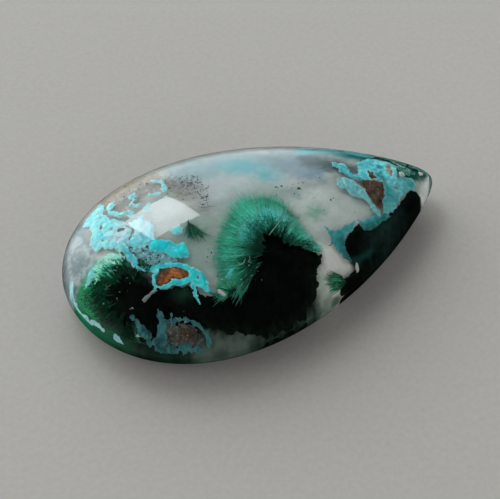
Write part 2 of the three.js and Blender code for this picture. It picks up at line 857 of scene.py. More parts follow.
@dataclass(frozen=True)
class Crust:
    """A thin swollen layer of mineral that follows the dome from below."""

    name: str
    region: Region
    tints: Tints
    finish: GrownMineral
    slot: Slot
    cover: float = 0.3      # clear quartz over it
    thickness: float = 0.3
    swell: float = 0.25     # how far in from its border it reaches its full thickness
    knobs: float = 0.05     # height of its rounded knobs
    knob_size: float = 0.7
    cell: float = 0.09      # the width of its mesh squares
    edge_share: float = 0.955   # how far out it may grow
    grows_from: float | None = None     # the height it grows up from, where it is a deep mass
    lowest: float = 0.35    # how near the stone's flat back it may come
    least: float = 0.03     # the least thickness, and the least clear quartz over it
    washes: tuple[Wash, ...] = ()

    def build(self, dome: PearDome) -> bpy.types.Object:
        """Cut the crust from a fine sheet, swell it and lay it under the dome.

        Args:
            dome: the polished surface over it.

        Returns:
            The piece.
        """
        bm, inside = self.cut_sheet(dome)
        top = list(bm.verts)
        extruded = bmesh.ops.extrude_face_region(bm, geom=list(bm.faces), use_keep_orig=True)
        under = {vert for vert in extruded["geom"] if isinstance(vert, bmesh.types.BMVert)}
        places = np.array([vert.co[:] for vert in top])
        x, y = places[:, 0], places[:, 1]
        share = dome.share_at(x, y)
        depth = self.cover + self.thickness
        floor = np.maximum(dome.under(share, depth), self.lowest)
        rise = self.thickness * (1 - np.exp(-inside / self.swell))
        knob = self.knobs * self.knob_pattern(x, y) * np.clip(inside / self.swell, 0, 1)
        crown = dome.under(share, np.maximum(depth - rise - knob, self.least))
        for vert, height in zip(top, np.maximum(crown, self.lowest + self.least)):
            vert.co.z = height
        if self.grows_from is not None:
            floor = self.grows_from + dome.underside_of(share)
        sheet = {(round(a, 4), round(b, 4)): height for a, b, height in zip(x, y, floor)}
        for vert in under:
            vert.co.z = sheet[(round(vert.co.x, 4), round(vert.co.y, 4))] - self.least
        bmesh.ops.recalc_face_normals(bm, faces=bm.faces)
        mesh = mesh_from(bm, self.name)
        self.paint(mesh)
        return finish_piece(self.name, mesh, self.finish.material())

    def knob_pattern(self, x: np.ndarray, y: np.ndarray) -> np.ndarray:
        """Rounded knobs, from about -1 between them to 1 on top.

        Args:
            x: places along the stone.
            y: places across it.

        Returns:
            The pattern at each place.
        """
        nearest = [noise.voronoi(Vector((a / self.knob_size, b / self.knob_size, self.region.seed)))[0][0]
                   for a, b in zip(x, y)]
        return 1 - 2.2 * np.array(nearest)

    def cut_sheet(self, dome: PearDome) -> tuple[bmesh.types.BMesh, np.ndarray]:
        """Cut the region out of a flat grid and pull its border onto the region's edge.

        Args:
            dome: the polished surface, which no crust reaches past.

        Returns:
            The cut sheet, and how far inside the region each of its points lies.
        """
        low_x, low_y, high_x, high_y = self.region.reach(3 * self.region.ragged + self.cell)
        columns = max(2, round((high_x - low_x) / self.cell))
        rows = max(2, round((high_y - low_y) / self.cell))
        bm = bmesh.new()
        bmesh.ops.create_grid(bm, x_segments=columns, y_segments=rows, size=0.5)
        bmesh.ops.scale(bm, vec=(high_x - low_x, high_y - low_y, 1), verts=bm.verts)
        bmesh.ops.translate(bm, vec=((low_x + high_x) / 2, (low_y + high_y) / 2, 0), verts=bm.verts)
        x, y = self.plan(bm)
        away = self.region.plain_distance(x, y) > 3 * self.region.ragged + 2 * self.cell
        self.drop(bm, away)
        x, y = self.plan(bm)
        outside = self.outside(dome, x, y)
        self.drop_faces(bm, outside > 0)
        self.settle_border(bm, dome)
        x, y = self.plan(bm)
        return bm, np.maximum(-self.outside(dome, x, y), 0)

    def outside(self, dome: PearDome, x: np.ndarray, y: np.ndarray) -> np.ndarray:
        """How far each place lies outside the region or too close to the stone's edge."""
        edge = (dome.share_at(x, y) - self.edge_share) * 9
        return np.maximum(self.region.distance(x, y), edge)

    def settle_border(self, bm: bmesh.types.BMesh, dome: PearDome) -> None:
        """Slide the points outside the region back onto its border.

        Args:
            bm: the cut sheet.
            dome: the polished surface.
        """
        step = 0.03
        for _ in range(2):
            loose = [vert for vert in bm.verts if vert.is_boundary]
            x = np.array([vert.co.x for vert in loose])
            y = np.array([vert.co.y for vert in loose])
            here = self.outside(dome, x, y)
            slope_x = (self.outside(dome, x + step, y) - self.outside(dome, x - step, y)) / (2 * step)
            slope_y = (self.outside(dome, x, y + step) - self.outside(dome, x, y - step)) / (2 * step)
            steep = np.maximum(slope_x ** 2 + slope_y ** 2, 0.3)
            back = np.clip(here / steep, -self.cell, self.cell) * 0.8
            for vert, away_x, away_y in zip(loose, back * slope_x, back * slope_y):
                vert.co.x -= away_x
                vert.co.y -= away_y

    @staticmethod
    def plan(bm: bmesh.types.BMesh) -> tuple[np.ndarray, np.ndarray]:
        """The x and y of every point."""
        places = np.array([vert.co[:2] for vert in bm.verts])
        return places[:, 0], places[:, 1]

    @staticmethod
    def drop(bm: bmesh.types.BMesh, away: np.ndarray) -> None:
        """Delete the marked points."""
        bmesh.ops.delete(bm, geom=[vert for vert, gone in zip(bm.verts, away) if gone],
                         context="VERTS")

    @staticmethod
    def drop_faces(bm: bmesh.types.BMesh, away: np.ndarray) -> None:
        """Delete the faces that have no point left inside, and what hangs loose.

        Args:
            bm: the sheet.
            away: a mark for each point that lies outside.
        """
        bm.verts.index_update()
        gone = [face for face in bm.faces if all(away[vert.index] for vert in face.verts)]
        bmesh.ops.delete(bm, geom=gone, context="FACES")
        loose = [vert for vert in bm.verts if not vert.link_faces]
        bmesh.ops.delete(bm, geom=loose, context="VERTS")

    def paint(self, mesh: bpy.types.Mesh) -> None:
        """Colour the crust by how deep it is and how near its border.

        Args:
            mesh: the crust's mesh.
        """
        places = places_of(mesh)
        x, y = places[:, 0], places[:, 1]
        inside = -self.region.distance(x, y)
        blotch = ease(-0.1, 0.55, grain(x, y, 1.1, self.region.seed + 41.3, 5))
        fine = ease(-0.3, 0.6, grain(x, y, 0.35, self.region.seed + 57.1, 3))
        rim = ease(self.tints.rim_width * 1.6, 0.0, inside) * (0.55 + 0.45 * fine)
        colors = np.array(self.tints.body) * (0.86 + 0.28 * fine)[:, None]
        colors += (np.array(self.tints.deep) - colors) * blotch[:, None]
        colors += (np.array(self.tints.rim) - colors) * rim[:, None]
        for wash in self.washes:
            colors = wash.over(colors, x, y)
        paint_points(mesh, colors)


# --- Needles and grains -------------------------------------------------------------------------


def copies(proto: bpy.types.Mesh, count: int, name: str) -> tuple[bpy.types.Mesh, np.ndarray]:
    """Join many copies of one small shape in one mesh.

    Args:
        proto: the small shape.
        count: how many copies.
        name: the joined mesh's name.

    Returns:
        The joined mesh and its points, as copies by points by x, y and z.
    """
    bm = bmesh.new()
    for _ in range(count):
        bm.from_mesh(proto)
    mesh = mesh_from(bm, name)
    return mesh, places_of(mesh).reshape(count, len(proto.vertices), 3)


@dataclass(frozen=True)
class Fibres:
    """A spray of fine malachite needles that fans out from a dark root."""

    name: str
    centre: tuple[float, float]
    sectors: tuple[tuple[float, float, float, float], ...]  # direction, root, tip, share of needles
    count: int
    thickness: float = 0.035
    cover: float = 0.3
    depth: float = 0.25     # how thick the layer of needles is
    dip: float = 0.3        # how much deeper the tips lie
    spread: float = 7.0     # degrees by which a needle leaves its ray
    streaks: float = 0.5    # how far along a needle its dark root may reach
    straggle: float = 0.3   # how unevenly the roots start
    scatter: float = 0.12   # how far single roots stray from that start, as a share of it
    edge_share: float = 0.965   # how far out they may reach
    lowest: float = 0.3     # how near the stone's flat back they may come
    root_color: Color = shade(3, 14, 10)
    middle_color: Color = shade(30, 130, 98)
    tip_color: Color = shade(90, 170, 150)
    # the colour of the painted sheen that a fifth of the needles carry
    sheen_color: Color = shade(90, 215, 175)
    washes: tuple[Wash, ...] = ()
    seed: int = 1

    def build(self, dome: PearDome) -> bpy.types.Object:
        """Grow the needles.

        Args:
            dome: the polished surface over them.

        Returns:
            The piece, one mesh of all the needles.
        """
        rng = np.random.default_rng(self.seed)
        angle, root, tip, deeper = self.rays(rng)
        tuft = grain(np.degrees(angle), root * 4, 8.0, self.seed + 7.7, 3)
        tip = tip + (tip - root) * 0.25 * tuft
        root = root + self.straggle * grain(np.degrees(angle), root * 2, 14.0, self.seed + 2.3, 3)
        mesh, shape = copies(self.needle(), self.count, self.name)
        along = shape[:, :, 2]
        lean = np.radians(rng.normal(0, self.spread, self.count))
        curl = rng.normal(0, 0.12, self.count)
        heading = angle + lean
        length = tip - root
        start_x = self.centre[0] + np.cos(angle) * root
        start_y = self.centre[1] + np.sin(angle) * root
        bend = along ** 2 * (curl * length)[:, None]
        out = along * length[:, None]
        cosine, sine = np.cos(heading)[:, None], np.sin(heading)[:, None]
        thick = self.thickness * rng.uniform(0.6, 1.4, self.count)
        aside = bend + shape[:, :, 0] * thick[:, None]
        upward = shape[:, :, 1] * thick[:, None]
        x = start_x[:, None] + cosine * out - sine * aside
        y = start_y[:, None] + sine * out + cosine * aside
        below = self.cover + (deeper * self.depth)[:, None] + self.dip * along
        share = dome.share_at(x.ravel(), y.ravel()).reshape(x.shape)
        pull = np.minimum(1, self.edge_share / share)
        x, y = dome.apex_x + (x - dome.apex_x) * pull, dome.axis_y + (y - dome.axis_y) * pull
        z = np.maximum(dome.under(np.minimum(share, self.edge_share), below - upward), self.lowest)
        move_points(mesh, np.stack([x, y, z], axis=2).reshape(-1, 3))
        paint_points(mesh, self.colors(along, x, y, tuft, rng).reshape(-1, 3))
        finish = GrownMineral(self.name, 0.4, 0.12, 0.3, 0.0, gloss=0.2)
        return finish_piece(self.name, mesh, finish.material())

    def rays(self, rng: np.random.Generator) -> tuple[np.ndarray, ...]:
        """Draw each needle's direction and its reach, between the given sectors.

        Args:
            rng: the source of chance.

        Returns:
            Directions in radians, where the needles start and end along them, and how deep
            they lie, from 0 for those that start first to 1.
        """
        turn, near, far, share = (np.array(part, dtype=float) for part in zip(*self.sectors))
        pick = np.linspace(turn[0], turn[-1], 400)
        weight = np.interp(pick, turn, share)
        chosen = rng.choice(pick, self.count, p=weight / weight.sum()) + rng.uniform(-0.5, 0.5, self.count)
        start, end = np.interp(chosen, turn, near), np.interp(chosen, turn, far)
        start = start * (1 + rng.normal(0, self.scatter, self.count))
        outward = rng.uniform(0, 1, self.count) ** 1.5
        root = start + (end - start) * 0.6 * outward
        tip = root + (end - root) * rng.uniform(0.35, 1.08, self.count)
        return np.radians(chosen), root, np.maximum(tip, root + 0.25), outward

    @staticmethod
    def needle() -> bpy.types.Mesh:
        """One needle, one unit long and one unit in radius, with three rings to bend at.

        Returns:
            The mesh that every needle is a copy of.
        """
        bm = bmesh.new()
        bmesh.ops.create_cone(bm, cap_ends=True, segments=3, radius1=1.0, radius2=0.12, depth=1.0)
        bmesh.ops.translate(bm, vec=(0, 0, 0.5), verts=bm.verts)
        for level in (0.3, 0.65):
            bmesh.ops.bisect_plane(bm, geom=bm.verts[:] + bm.edges[:] + bm.faces[:],
                                   plane_co=(0, 0, level), plane_no=(0, 0, 1))
        return mesh_from(bm, "needle")

    def colors(self, along: np.ndarray, x: np.ndarray, y: np.ndarray, tuft: np.ndarray,
               rng: np.random.Generator) -> np.ndarray:
        """Shade the needles from their dark roots to their pale tips, with a painted sheen along a fifth of
        them.

        Args:
            along: how far along its needle each point lies.
            x: where along the stone it lies.
            y: where across the stone it lies.
            tuft: how bright each needle's tuft is, about -1 to 1.
            rng: the source of chance.

        Returns:
            Red, green and blue for each point.
        """
        root, middle, tip, bright = (np.array(color) for color in (
            self.root_color, self.middle_color, self.tip_color, self.sheen_color))
        fall = ease(0.6, 1.0, along).reshape(-1, 1)
        colors = middle + (tip - middle) * fall * 0.7
        for wash in self.washes:
            colors = wash.over(colors, x.ravel(), y.ravel())
        colors = colors.reshape(*along.shape, 3)
        # a painted sheen: a fifth of the needles are lightened along their middle, as if light glanced off
        # them
        lit = (rng.uniform(0, 1, self.count) < 0.2)[:, None, None] * ease(0.15, 0.5, along)[..., None]
        colors = colors + (bright - colors) * lit * 0.5
        dark_part = 0.1 + self.streaks * rng.uniform(0, 1, self.count) ** 2
        rise = ease(0.0, 1.0, along / dark_part[:, None])[..., None]
        colors = root + (colors - root) * rise
        tone = rng.uniform(0.6, 1.5, self.count) * np.clip(1 + 0.6 * tuft, 0.3, 1.6)
        return colors * tone[:, None, None]


@dataclass(frozen=True)
class Grains:
    """Many tiny rounded grains scattered in a few clusters."""

    name: str
    clusters: tuple[tuple[float, float, float, int], ...]   # x, y, spread, how many
    radius: float
    color: Color
    slot: Slot
    cover: float = 0.2
    depth: float = 0.5
    edge_share: float = 0.93    # how far out they may lie
    seed: int = 5

    def build(self, dome: PearDome) -> bpy.types.Object:
        """Scatter the grains.

        Args:
            dome: the polished surface over them.

        Returns:
            The piece, one mesh of all the grains.
        """
        rng = np.random.default_rng(self.seed)
        x = np.concatenate([rng.normal(spot[0], spot[2], spot[3]) for spot in self.clusters])
        y = np.concatenate([rng.normal(spot[1], spot[2], spot[3]) for spot in self.clusters])
        inside = dome.share_at(x, y) < self.edge_share
        x, y = x[inside], y[inside]
        count = len(x)
        bm = bmesh.new()
        bmesh.ops.create_icosphere(bm, subdivisions=1, radius=1.0)
        mesh, shape = copies(mesh_from(bm, "grain"), count, self.name)
        size = self.radius * rng.lognormal(0, 0.45, count)
        shape = shape * rng.uniform(0.6, 1.4, (count, 1, 3)) * size[:, None, None]
        below = self.cover + rng.uniform(0, self.depth, count)
        middle = np.stack([x, y, dome.under(dome.share_at(x, y), below)], axis=1)
        move_points(mesh, (shape + middle[:, None, :]).reshape(-1, 3))
        finish = PlainFinish(self.name, self.color, 0.7)
        return finish_piece(self.name, mesh, finish.material())


# --- Light and camera ---------------------------------------------------------------------------


@dataclass(frozen=True)
class SoftBox:
    """A flat soft light aimed at the stone from a compass direction and height."""

    name: str
    azimuth: float          # degrees from +X towards +Y
    elevation: float
    distance: float         # metres
    width: float
    height: float
    radiance: float
    color: Color = (1.0, 1.0, 1.0)
    roll: float = 0.0       # degrees it is turned about its own beam

    def place(self) -> None:
        """Hang the light."""
        light = bpy.data.lights.new(self.name, "AREA")
        light.shape = "RECTANGLE"
        light.size, light.size_y = self.width, self.height
        light.energy = self.radiance * math.pi * self.width * self.height
        light.color = self.color
        box = bpy.data.objects.new(self.name, light)
        turn, lift = math.radians(self.azimuth), math.radians(self.elevation)
        out = Vector((math.cos(turn) * math.cos(lift), math.sin(turn) * math.cos(lift),
                      math.sin(lift)))
        box.location = out * self.distance
        level = out.to_track_quat("Z", "Y")
        box.rotation_euler = (level @ Quaternion((0, 0, 1), math.radians(self.roll))).to_euler()
        box.visible_camera = False
        bpy.context.scene.collection.objects.link(box)


@dataclass(frozen=True)
class SkyGlow:
    """A soft bright part of the room round the stone, with faded borders."""

    azimuth: float          # degrees from +X towards +Y
    half_width: float       # degrees to either side
    top: float              # degrees above the floor
    fade: float             # degrees over which it fades
    radiance: float
    color: Color
    shows: float = 1.0      # how much of it the polish reflects
    lowest: float = -0.3    # the sine of the angle below the floor where it ends

    def add(self, tree: bpy.types.NodeTree, direction: bpy.types.NodeSocket,
            mirrored: bpy.types.NodeSocket) -> bpy.types.NodeSocket:
        """Work out this glow's light for every direction.

        Args:
            tree: the room's node tree.
            direction: the direction looked in.
            mirrored: 1 where it is seen in a polished surface.

        Returns:
            The glow's colour times its strength.
        """
        turn = math.radians(self.azimuth)
        split = add_node(tree, "SeparateXYZ", {0: direction})
        flat = add_node(tree, "VectorMath", {0: direction, 1: (1, 1, 0)}, operation="MULTIPLY")
        level = add_node(tree, "VectorMath", {0: flat.outputs["Vector"]}, operation="NORMALIZE")
        toward = add_node(tree, "VectorMath", {0: level.outputs["Vector"],
                                               1: (math.cos(turn), math.sin(turn), 0)},
                          operation="DOT_PRODUCT")
        sideways = self.fader(tree, toward.outputs["Value"],
                              math.cos(math.radians(self.half_width + self.fade)),
                              math.cos(math.radians(self.half_width)))
        upward = self.fader(tree, split.outputs["Z"],
                            math.sin(math.radians(self.top + self.fade / 2)),
                            math.sin(math.radians(self.top - self.fade / 2)))
        above = self.fader(tree, split.outputs["Z"], self.lowest, 0.0)
        seen = add_node(tree, "Math", {0: mirrored, 1: self.shows - 1, 2: 1.0},
                        operation="MULTIPLY_ADD")
        strength = seen.outputs["Value"]
        for part in (sideways, upward, above):
            product = add_node(tree, "Math", {0: strength, 1: part}, operation="MULTIPLY")
            strength = product.outputs["Value"]
        tint = add_node(tree, "VectorMath", {0: tuple(part * self.radiance for part in self.color),
                                             "Scale": strength}, operation="SCALE")
        return tint.outputs["Vector"]

    @staticmethod
    def fader(tree: bpy.types.NodeTree, value: bpy.types.NodeSocket, dark: float,
              bright: float) -> bpy.types.NodeSocket:
        """Rise smoothly from 0 where a value is dark to 1 where it is bright.

        Args:
            tree: the room's node tree.
            value: the value.
            dark: where the light has faded out.
            bright: where it has its full strength.

        Returns:
            The risen value.
        """
        rising = dark < bright
        fade = add_node(tree, "MapRange", {"Value": value,
                                           "From Min": min(dark, bright), "From Max": max(dark, bright),
                                           "To Min": 0.0 if rising else 1.0,
                                           "To Max": 1.0 if rising else 0.0},
                        interpolation_type="SMOOTHSTEP")
        return fade.outputs["Result"]


@dataclass(frozen=True)
class Studio:
    """The pale floor, the soft lights and the camera."""

    dome: PearDome
    floor_gap: float = 0.05
    lens: float = 85.0
    camera_azimuth: float = -22.53
    camera_elevation: float = 50.0
    camera_distance: float = 96.8
    aim: tuple[float, float] = (-0.51, 0.48)
    room_light: float = 0.35

    def lay_floor(self) -> None:
        """Lay a plain pale floor."""
        bm = bmesh.new()
        bmesh.ops.create_grid(bm, x_segments=1, y_segments=1, size=1.5)
        mesh = mesh_from(bm, "floor")
        mesh.transform(Matrix.Translation((0, 0, -self.floor_gap * MM)))
        mesh.materials.append(PlainFinish("pale_floor", shade(156, 154, 150), 0.85).material())
        floor = bpy.data.objects.new("floor", mesh)
        floor.visible_glossy = False
        bpy.context.scene.collection.objects.link(floor)

    def hang_lights(self) -> None:
        """Hang the window light, and let the room round the stone glow softly."""
        SoftBox("window", azimuth=94, elevation=42.5, distance=0.30, width=0.072, height=0.104,
                radiance=5.4, color=(0.86, 0.96, 1.0), roll=9).place()
        white = (1.0, 1.0, 1.0)
        # azimuth, half width, top, fade, radiance and colour
        glows = (SkyGlow(92, 30, 45, 5, 1.5, (0.92, 0.97, 1.0)),
                 SkyGlow(55, 45, 44, 20, 1.6, white, shows=0.0),
                 SkyGlow(150, 35, 26, 18, 2.2, white, shows=0.1),
                 SkyGlow(115, 45, 60, 20, 1.9, white, shows=0.0),
                 SkyGlow(-72, 60, 32, 14, 2.0, white, shows=0.0),
                 SkyGlow(0, 180, 89, 2, self.room_light, white, shows=0.08))
        world = bpy.data.worlds.new("room")
        world.use_nodes = True
        tree = world.node_tree
        direction = add_node(tree, "TexCoord").outputs["Generated"]
        rays = add_node(tree, "LightPath").outputs
        mirrored = add_node(tree, "Math", {0: rays["Is Glossy Ray"], 1: rays["Is Transmission Ray"]},
                            operation="SUBTRACT", use_clamp=True).outputs["Value"]
        light = glows[0].add(tree, direction, mirrored)
        for glow in glows[1:]:
            both = {0: light, 1: glow.add(tree, direction, mirrored)}
            light = add_node(tree, "VectorMath", both, operation="ADD").outputs["Vector"]
        fill(tree.nodes["Background"], {"Color": light})
        bpy.context.scene.world = world

    def set_camera(self) -> None:
        """Look down on the stone from its blunt end's side."""
        camera = bpy.data.cameras.new("camera")
        camera.lens = self.lens
        camera.sensor_width = 36.0
        camera.clip_start = 0.001
        camera.clip_end = 10.0
        turn, lift = math.radians(self.camera_azimuth), math.radians(self.camera_elevation)
        back = Vector((math.sin(turn) * math.cos(lift), -math.cos(turn) * math.cos(lift),
                       math.sin(lift)))
        holder = bpy.data.objects.new("camera", camera)
        holder.location = (Vector((*self.aim, 0)) + back * self.camera_distance) * MM
        holder.rotation_euler = back.to_track_quat("Z", "Y").to_euler()
        bpy.context.scene.collection.objects.link(holder)
        bpy.context.scene.camera = holder
        bpy.context.scene.view_settings.view_transform = "Standard"

    def build(self) -> None:
        """Set up everything round the stone."""
        self.lay_floor()
        self.hang_lights()
        self.set_camera()


# --- Where everything grew ----------------------------------------------------------------------


CRUST_FINISH = GrownMineral("chrysocolla_crust", 0.6, 0.16, 0.35, 0.04)
DARK_FINISH = GrownMineral("dark_malachite", 0.8, 0.25, 0.3, 0.0, gloss=0.0)
EARTH_FINISH = GrownMineral("iron_earth", 0.8, 0.7, 0.25, 0.06)
SKY_BLUE = Tints(shade(140, 249, 254), shade(84, 216, 238), shade(206, 253, 254), 0.12)
TIP_BLUE = Tints(shade(112, 232, 242), shade(40, 152, 166), shade(186, 244, 248), 0.12)
TURQUOISE = Tints(shade(62, 250, 254), shade(40, 224, 244), shade(160, 250, 254), 0.1)
SEA_BLUE = Tints(shade(78, 184, 186), shade(50, 146, 150), shade(130, 206, 206), 0.1)
DIM_BLUE = Tints(shade(64, 134, 138), shade(36, 86, 92), shade(96, 156, 158), 0.12)
GREY_BLUE = Tints(shade(132, 190, 198), shade(74, 132, 138), shade(176, 216, 218), 0.1)
NEAR_BLACK = Tints(shade(14, 19, 16), shade(8, 11, 9), shade(24, 34, 28), 0.4)


def washes() -> tuple[Wash, ...]:
    """The colours of the cloudy bed, from the first wash to the last."""
    return clear_washes() + haze_washes() + end_washes() + malachite_washes()


def clear_washes() -> tuple[Wash, ...]:
    """The nearly clear quartz: its windows, the brightest of them partly painted light, and the brown
    clouds in them.

    Returns:
        The washes, in the order they are laid.
    """
    window = Patch(((3.1, -4.6), (4.3, -4.8), (4.6, -6.0), (5.1, -6.7), (4.1, -6.9), (3.0, -7.0),
                    (3.6, -7.9), (3.3, -8.3), (2.2, -8.3), (1.7, -7.4), (2.2, -6.2), (2.7, -5.6)))
    return (
        Wash(Region((Patch(((-6.2, 1.2), (-3.2, 0.8), (-3.8, -2.4), (-4.8, -5.6), (-7.0, -3.4),
                            (-6.8, -0.8))),), ragged=0.3), shade(172, 188, 180), 0.7),
        Wash(Region((Patch(((1.8, 0.8), (5.8, 0.2), (8.4, -2.2), (8.6, -3.6), (3.4, -5.0), (2.4, -2.0))),),
                    ragged=0.4), shade(206, 214, 210), 0.8),
        # the pale window: partly pale quartz, partly painted light that passes through the stone onto the
        # near side
        Wash(Region((window,), ragged=0.2), shade(246, 244, 238), 0.5),
        Wash(Region((Vein(((2.0, -6.8), (1.9, -7.8), (2.6, -8.2)), 0.5, 0.3),), ragged=0.3, size=0.5),
             shade(176, 200, 180), 0.4, 0.8),
        Wash(Region((Patch(((-6.0, 6.0), (-4.2, 5.4), (-2.8, 3.2), (-3.2, 1.2), (-4.6, 1.4),
                            (-5.6, 3.6))),), ragged=0.5, size=0.7), shade(150, 150, 136), 0.7, 0.8),
        Wash(Region((Patch(((-6.4, 6.6), (-4.4, 5.8), (-3.2, 3.4), (-3.6, 2.4), (-5.6, 4.2))),),
                    ragged=0.5, size=0.5, lace=0.3), shade(104, 98, 84), 0.25, 0.5),
        Wash(Region((Patch(((-11.0, 6.4), (-8.2, 7.6), (-5.8, 7.2), (-6.0, 5.6), (-8.6, 4.4),
                            (-10.6, 4.6))),), ragged=0.4, size=0.6, lace=0.4), shade(122, 112, 98), 0.2,
             0.6),
        Wash(Region((Vein(((-10.0, 7.0), (-8.0, 7.4), (-6.2, 7.2)), 0.7, 0.5),), ragged=0.5, size=0.5,
                    lace=0.25, seed=3), shade(170, 146, 112), 0.2, 0.6),
        Wash(Region((Spot(-12.4, 1.2, 0.6, 1.6, -20),), ragged=0.2), shade(226, 216, 208), 0.4, 0.8),
    )


def haze_washes() -> tuple[Wash, ...]:
    """The blue and teal hazes along the far side.

    Returns:
        The washes, in the order they are laid.
    """
    return (
        Wash(Region((Vein(((-3.4, 6.0), (-0.5, 5.4), (2.0, 4.6), (5.4, 3.4)), 1.6, 1.5),), ragged=0.5),
             shade(138, 172, 180), 1.1, 0.95),
        Wash(Region((Spot(4.2, 3.2, 0.9, 2.0, -40),), ragged=0.4), shade(108, 134, 146), 0.8, 0.8),
        Wash(Region((Spot(-1.7, 2.4, 1.7, 1.5, 0),), ragged=0.4), shade(182, 194, 198), 0.9, 0.8),
        Wash(Region((Spot(0.6, 4.6, 0.9, 1.9, -30), Spot(1.9, 3.0, 0.8, 1.6, -60)), ragged=0.4, size=0.6),
             shade(92, 180, 188), 0.8, 0.95),
        Wash(Region((Spot(5.0, 2.0, 0.9, 1.6, -50),), ragged=0.4), shade(132, 158, 174), 0.8, 0.9),
        Wash(Region((Vein(((5.8, 3.4), (7.2, 2.4), (8.2, 1.4), (8.9, 1.1)), 0.9, 0.5),), ragged=0.3),
             shade(72, 94, 100), 0.6, 0.9),
        Wash(Region((Vein(((5.8, 4.8), (7.9, 4.0), (9.4, 3.2), (10.8, 2.4)), 0.5, 0.7),), ragged=0.2),
             shade(76, 190, 198), 0.4, 0.95),
        Wash(Region((Patch(((11.0, 3.2), (12.6, 2.4), (15.0, 0.8), (15.4, 0.0), (13.4, -0.5),
                            (12.4, -0.1), (12.2, 1.1), (11.0, 2.2))),), ragged=0.2), shade(26, 94, 84),
             0.35),
        Wash(Region((Spot(3.9, -2.0, 0.5, 1.5, 20),), ragged=0.3, size=0.5), shade(120, 178, 152), 0.6,
             0.8),
        Wash(Region((Vein(((-1.0, 1.9), (1.2, 1.4), (3.4, 0.3)), 0.8, 0.6),), ragged=0.4),
             shade(150, 170, 168),
             0.8, 0.8),
    )


def end_washes() -> tuple[Wash, ...]:
    """The grey-blue quartz of the blunt end, and a painted glint along the edge at the point.

    Returns:
        The washes, in the order they are laid.
    """
    return (
        Wash(Region((Patch(((-13.2, 0.6), (-12.8, 1.8), (-13.0, 3.6), (-12.6, 5.6), (-13.4, 7.0),
                            (-17.0, 5.0), (-17.0, -2.2), (-15.0, -0.5), (-14.0, 0.0))),), ragged=0.2),
             shade(146, 166, 172), 0.35),
        Wash(Region((Patch(((-13.4, 0.8), (-13.0, 2.2), (-13.4, 3.8), (-13.4, 5.6), (-16.4, 4.6),
                            (-16.4, -1.2), (-14.4, 0.0))),), ragged=0.4, size=0.7, lace=0.32, seed=8),
             shade(206, 216, 216), 0.15, 0.75),
        Wash(Region((Patch(((-13.6, 1.0), (-13.4, 2.6), (-14.4, 3.6), (-15.2, 0.6))),), ragged=0.4,
                    size=0.5, lace=0.3, seed=4), shade(112, 134, 140), 0.15, 0.6),
        # painted highlight: a white glint of light along the clear edge at the point
        Wash(Region((Vein(((13.8, -2.4), (14.3, -1.5), (14.8, -0.8), (15.4, -0.1)), 0.5, 0.5),),
                    ragged=0.2),
             shade(252, 254, 252), 0.3),
    )


def malachite_washes() -> tuple[Wash, ...]:
    """The greens and blacks that the malachite stains the bed with, a painted mint highlight, and painted
    shade along the near side.

    Returns:
        The washes, in the order they are laid.
    """
    # near-black: partly the malachite's own stain, partly painted shade on the near flank, which lies in
    # shadow
    dark = shade(12, 19, 16)
    return (
        Wash(Region((Spot(-0.6, -2.5, 2.7, 1.1, 60),), ragged=0.5), shade(64, 152, 128), 0.6),
        # painted highlight: the pale mint where light grazes the left plume's fibres
        Wash(Region((Vein(((-13.6, 0.0), (-12.8, 0.5), (-11.9, 0.3)), 0.4, 0.3),), ragged=0.2),
             shade(170, 250, 228), 0.4),
        Wash(Region((Patch(((-14.0, 0.2), (-12.4, 0.5), (-11.0, -0.4), (-11.6, -3.0), (-13.0, -6.0),
                            (-14.0, -8.0), (-17.0, -5.0), (-17.0, -1.0), (-15.2, -0.4))),), ragged=0.25),
             shade(18, 148, 96), 0.4),
        Wash(Region((Patch(((-14.6, -2.9), (-14.0, -4.0), (-12.4, -6.6), (-12.0, -9.0), (-16.0, -7.0),
                            (-16.6, -3.6))),), ragged=0.25), shade(34, 118, 84), 0.5),
        Wash(Region((Patch(((-14.0, -2.9), (-13.2, -1.4), (-10.6, -1.0), (-9.0, -4.6), (-6.6, -6.8),
                            (-3.2, -4.6), (0.0, -3.2), (2.2, -4.6), (2.6, -5.8), (1.2, -7.4),
                            (1.4, -8.6), (1.8, -8.8), (1.6, -11.0), (-8.0, -12.0), (-12.0, -9.0),
                            (-13.6, -5.0))),), ragged=0.25), dark, 0.6),
        # the same near-black, stain and painted shade, along the near side of the point
        Wash(Region((Patch(((4.8, -5.4), (5.8, -4.6), (6.6, -4.1), (9.2, -3.6), (12.0, -2.0), (13.4, -1.3),
                            (13.9, -2.2), (14.4, -3.4), (14.0, -6.0), (6.0, -10.0), (3.6, -9.6),
                            (3.9, -8.1), (3.6, -7.6),
                            (4.2, -7.1), (5.1, -6.8), (5.0, -6.2))),), ragged=0.12), dark, 0.2),
        Wash(Region((Vein(((2.2, -8.9), (3.1, -8.5), (3.8, -8.2)), 0.3, 0.3),), ragged=0.4, size=0.4),
             shade(70, 98, 84), 0.35, 0.85),
        Wash(Region((Spot(-5.3, -0.2, 0.5, 1.3, -60),), ragged=0.4), shade(84, 136, 116), 0.5, 0.6),
        Wash(Region((Vein(((-1.0, -9.8), (1.4, -9.1), (3.2, -8.8)), 0.3, 0.6),), ragged=0.3, size=0.6),
             shade(84, 116, 100), 0.4, 0.8),
        Wash(Region((Vein(((-5.4, -9.9), (-3.2, -9.9), (-1.8, -9.7)), 0.5, 0.2),), ragged=0.3),
             shade(60, 84, 72), 0.4, 0.8),
        Wash(Region((Vein(((-14.0, -6.4), (-12.4, -7.6), (-10.4, -8.8), (-8.6, -9.6)), 0.7, 0.4),),
                    ragged=0.4),
             shade(34, 78, 60), 1.0, 0.9),
        Wash(Region((Vein(((-8.0, -9.1), (-6.8, -9.2), (-4.8, -9.6)), 0.8, 0.5),), ragged=0.5),
             shade(104, 124, 112), 0.9),
    )


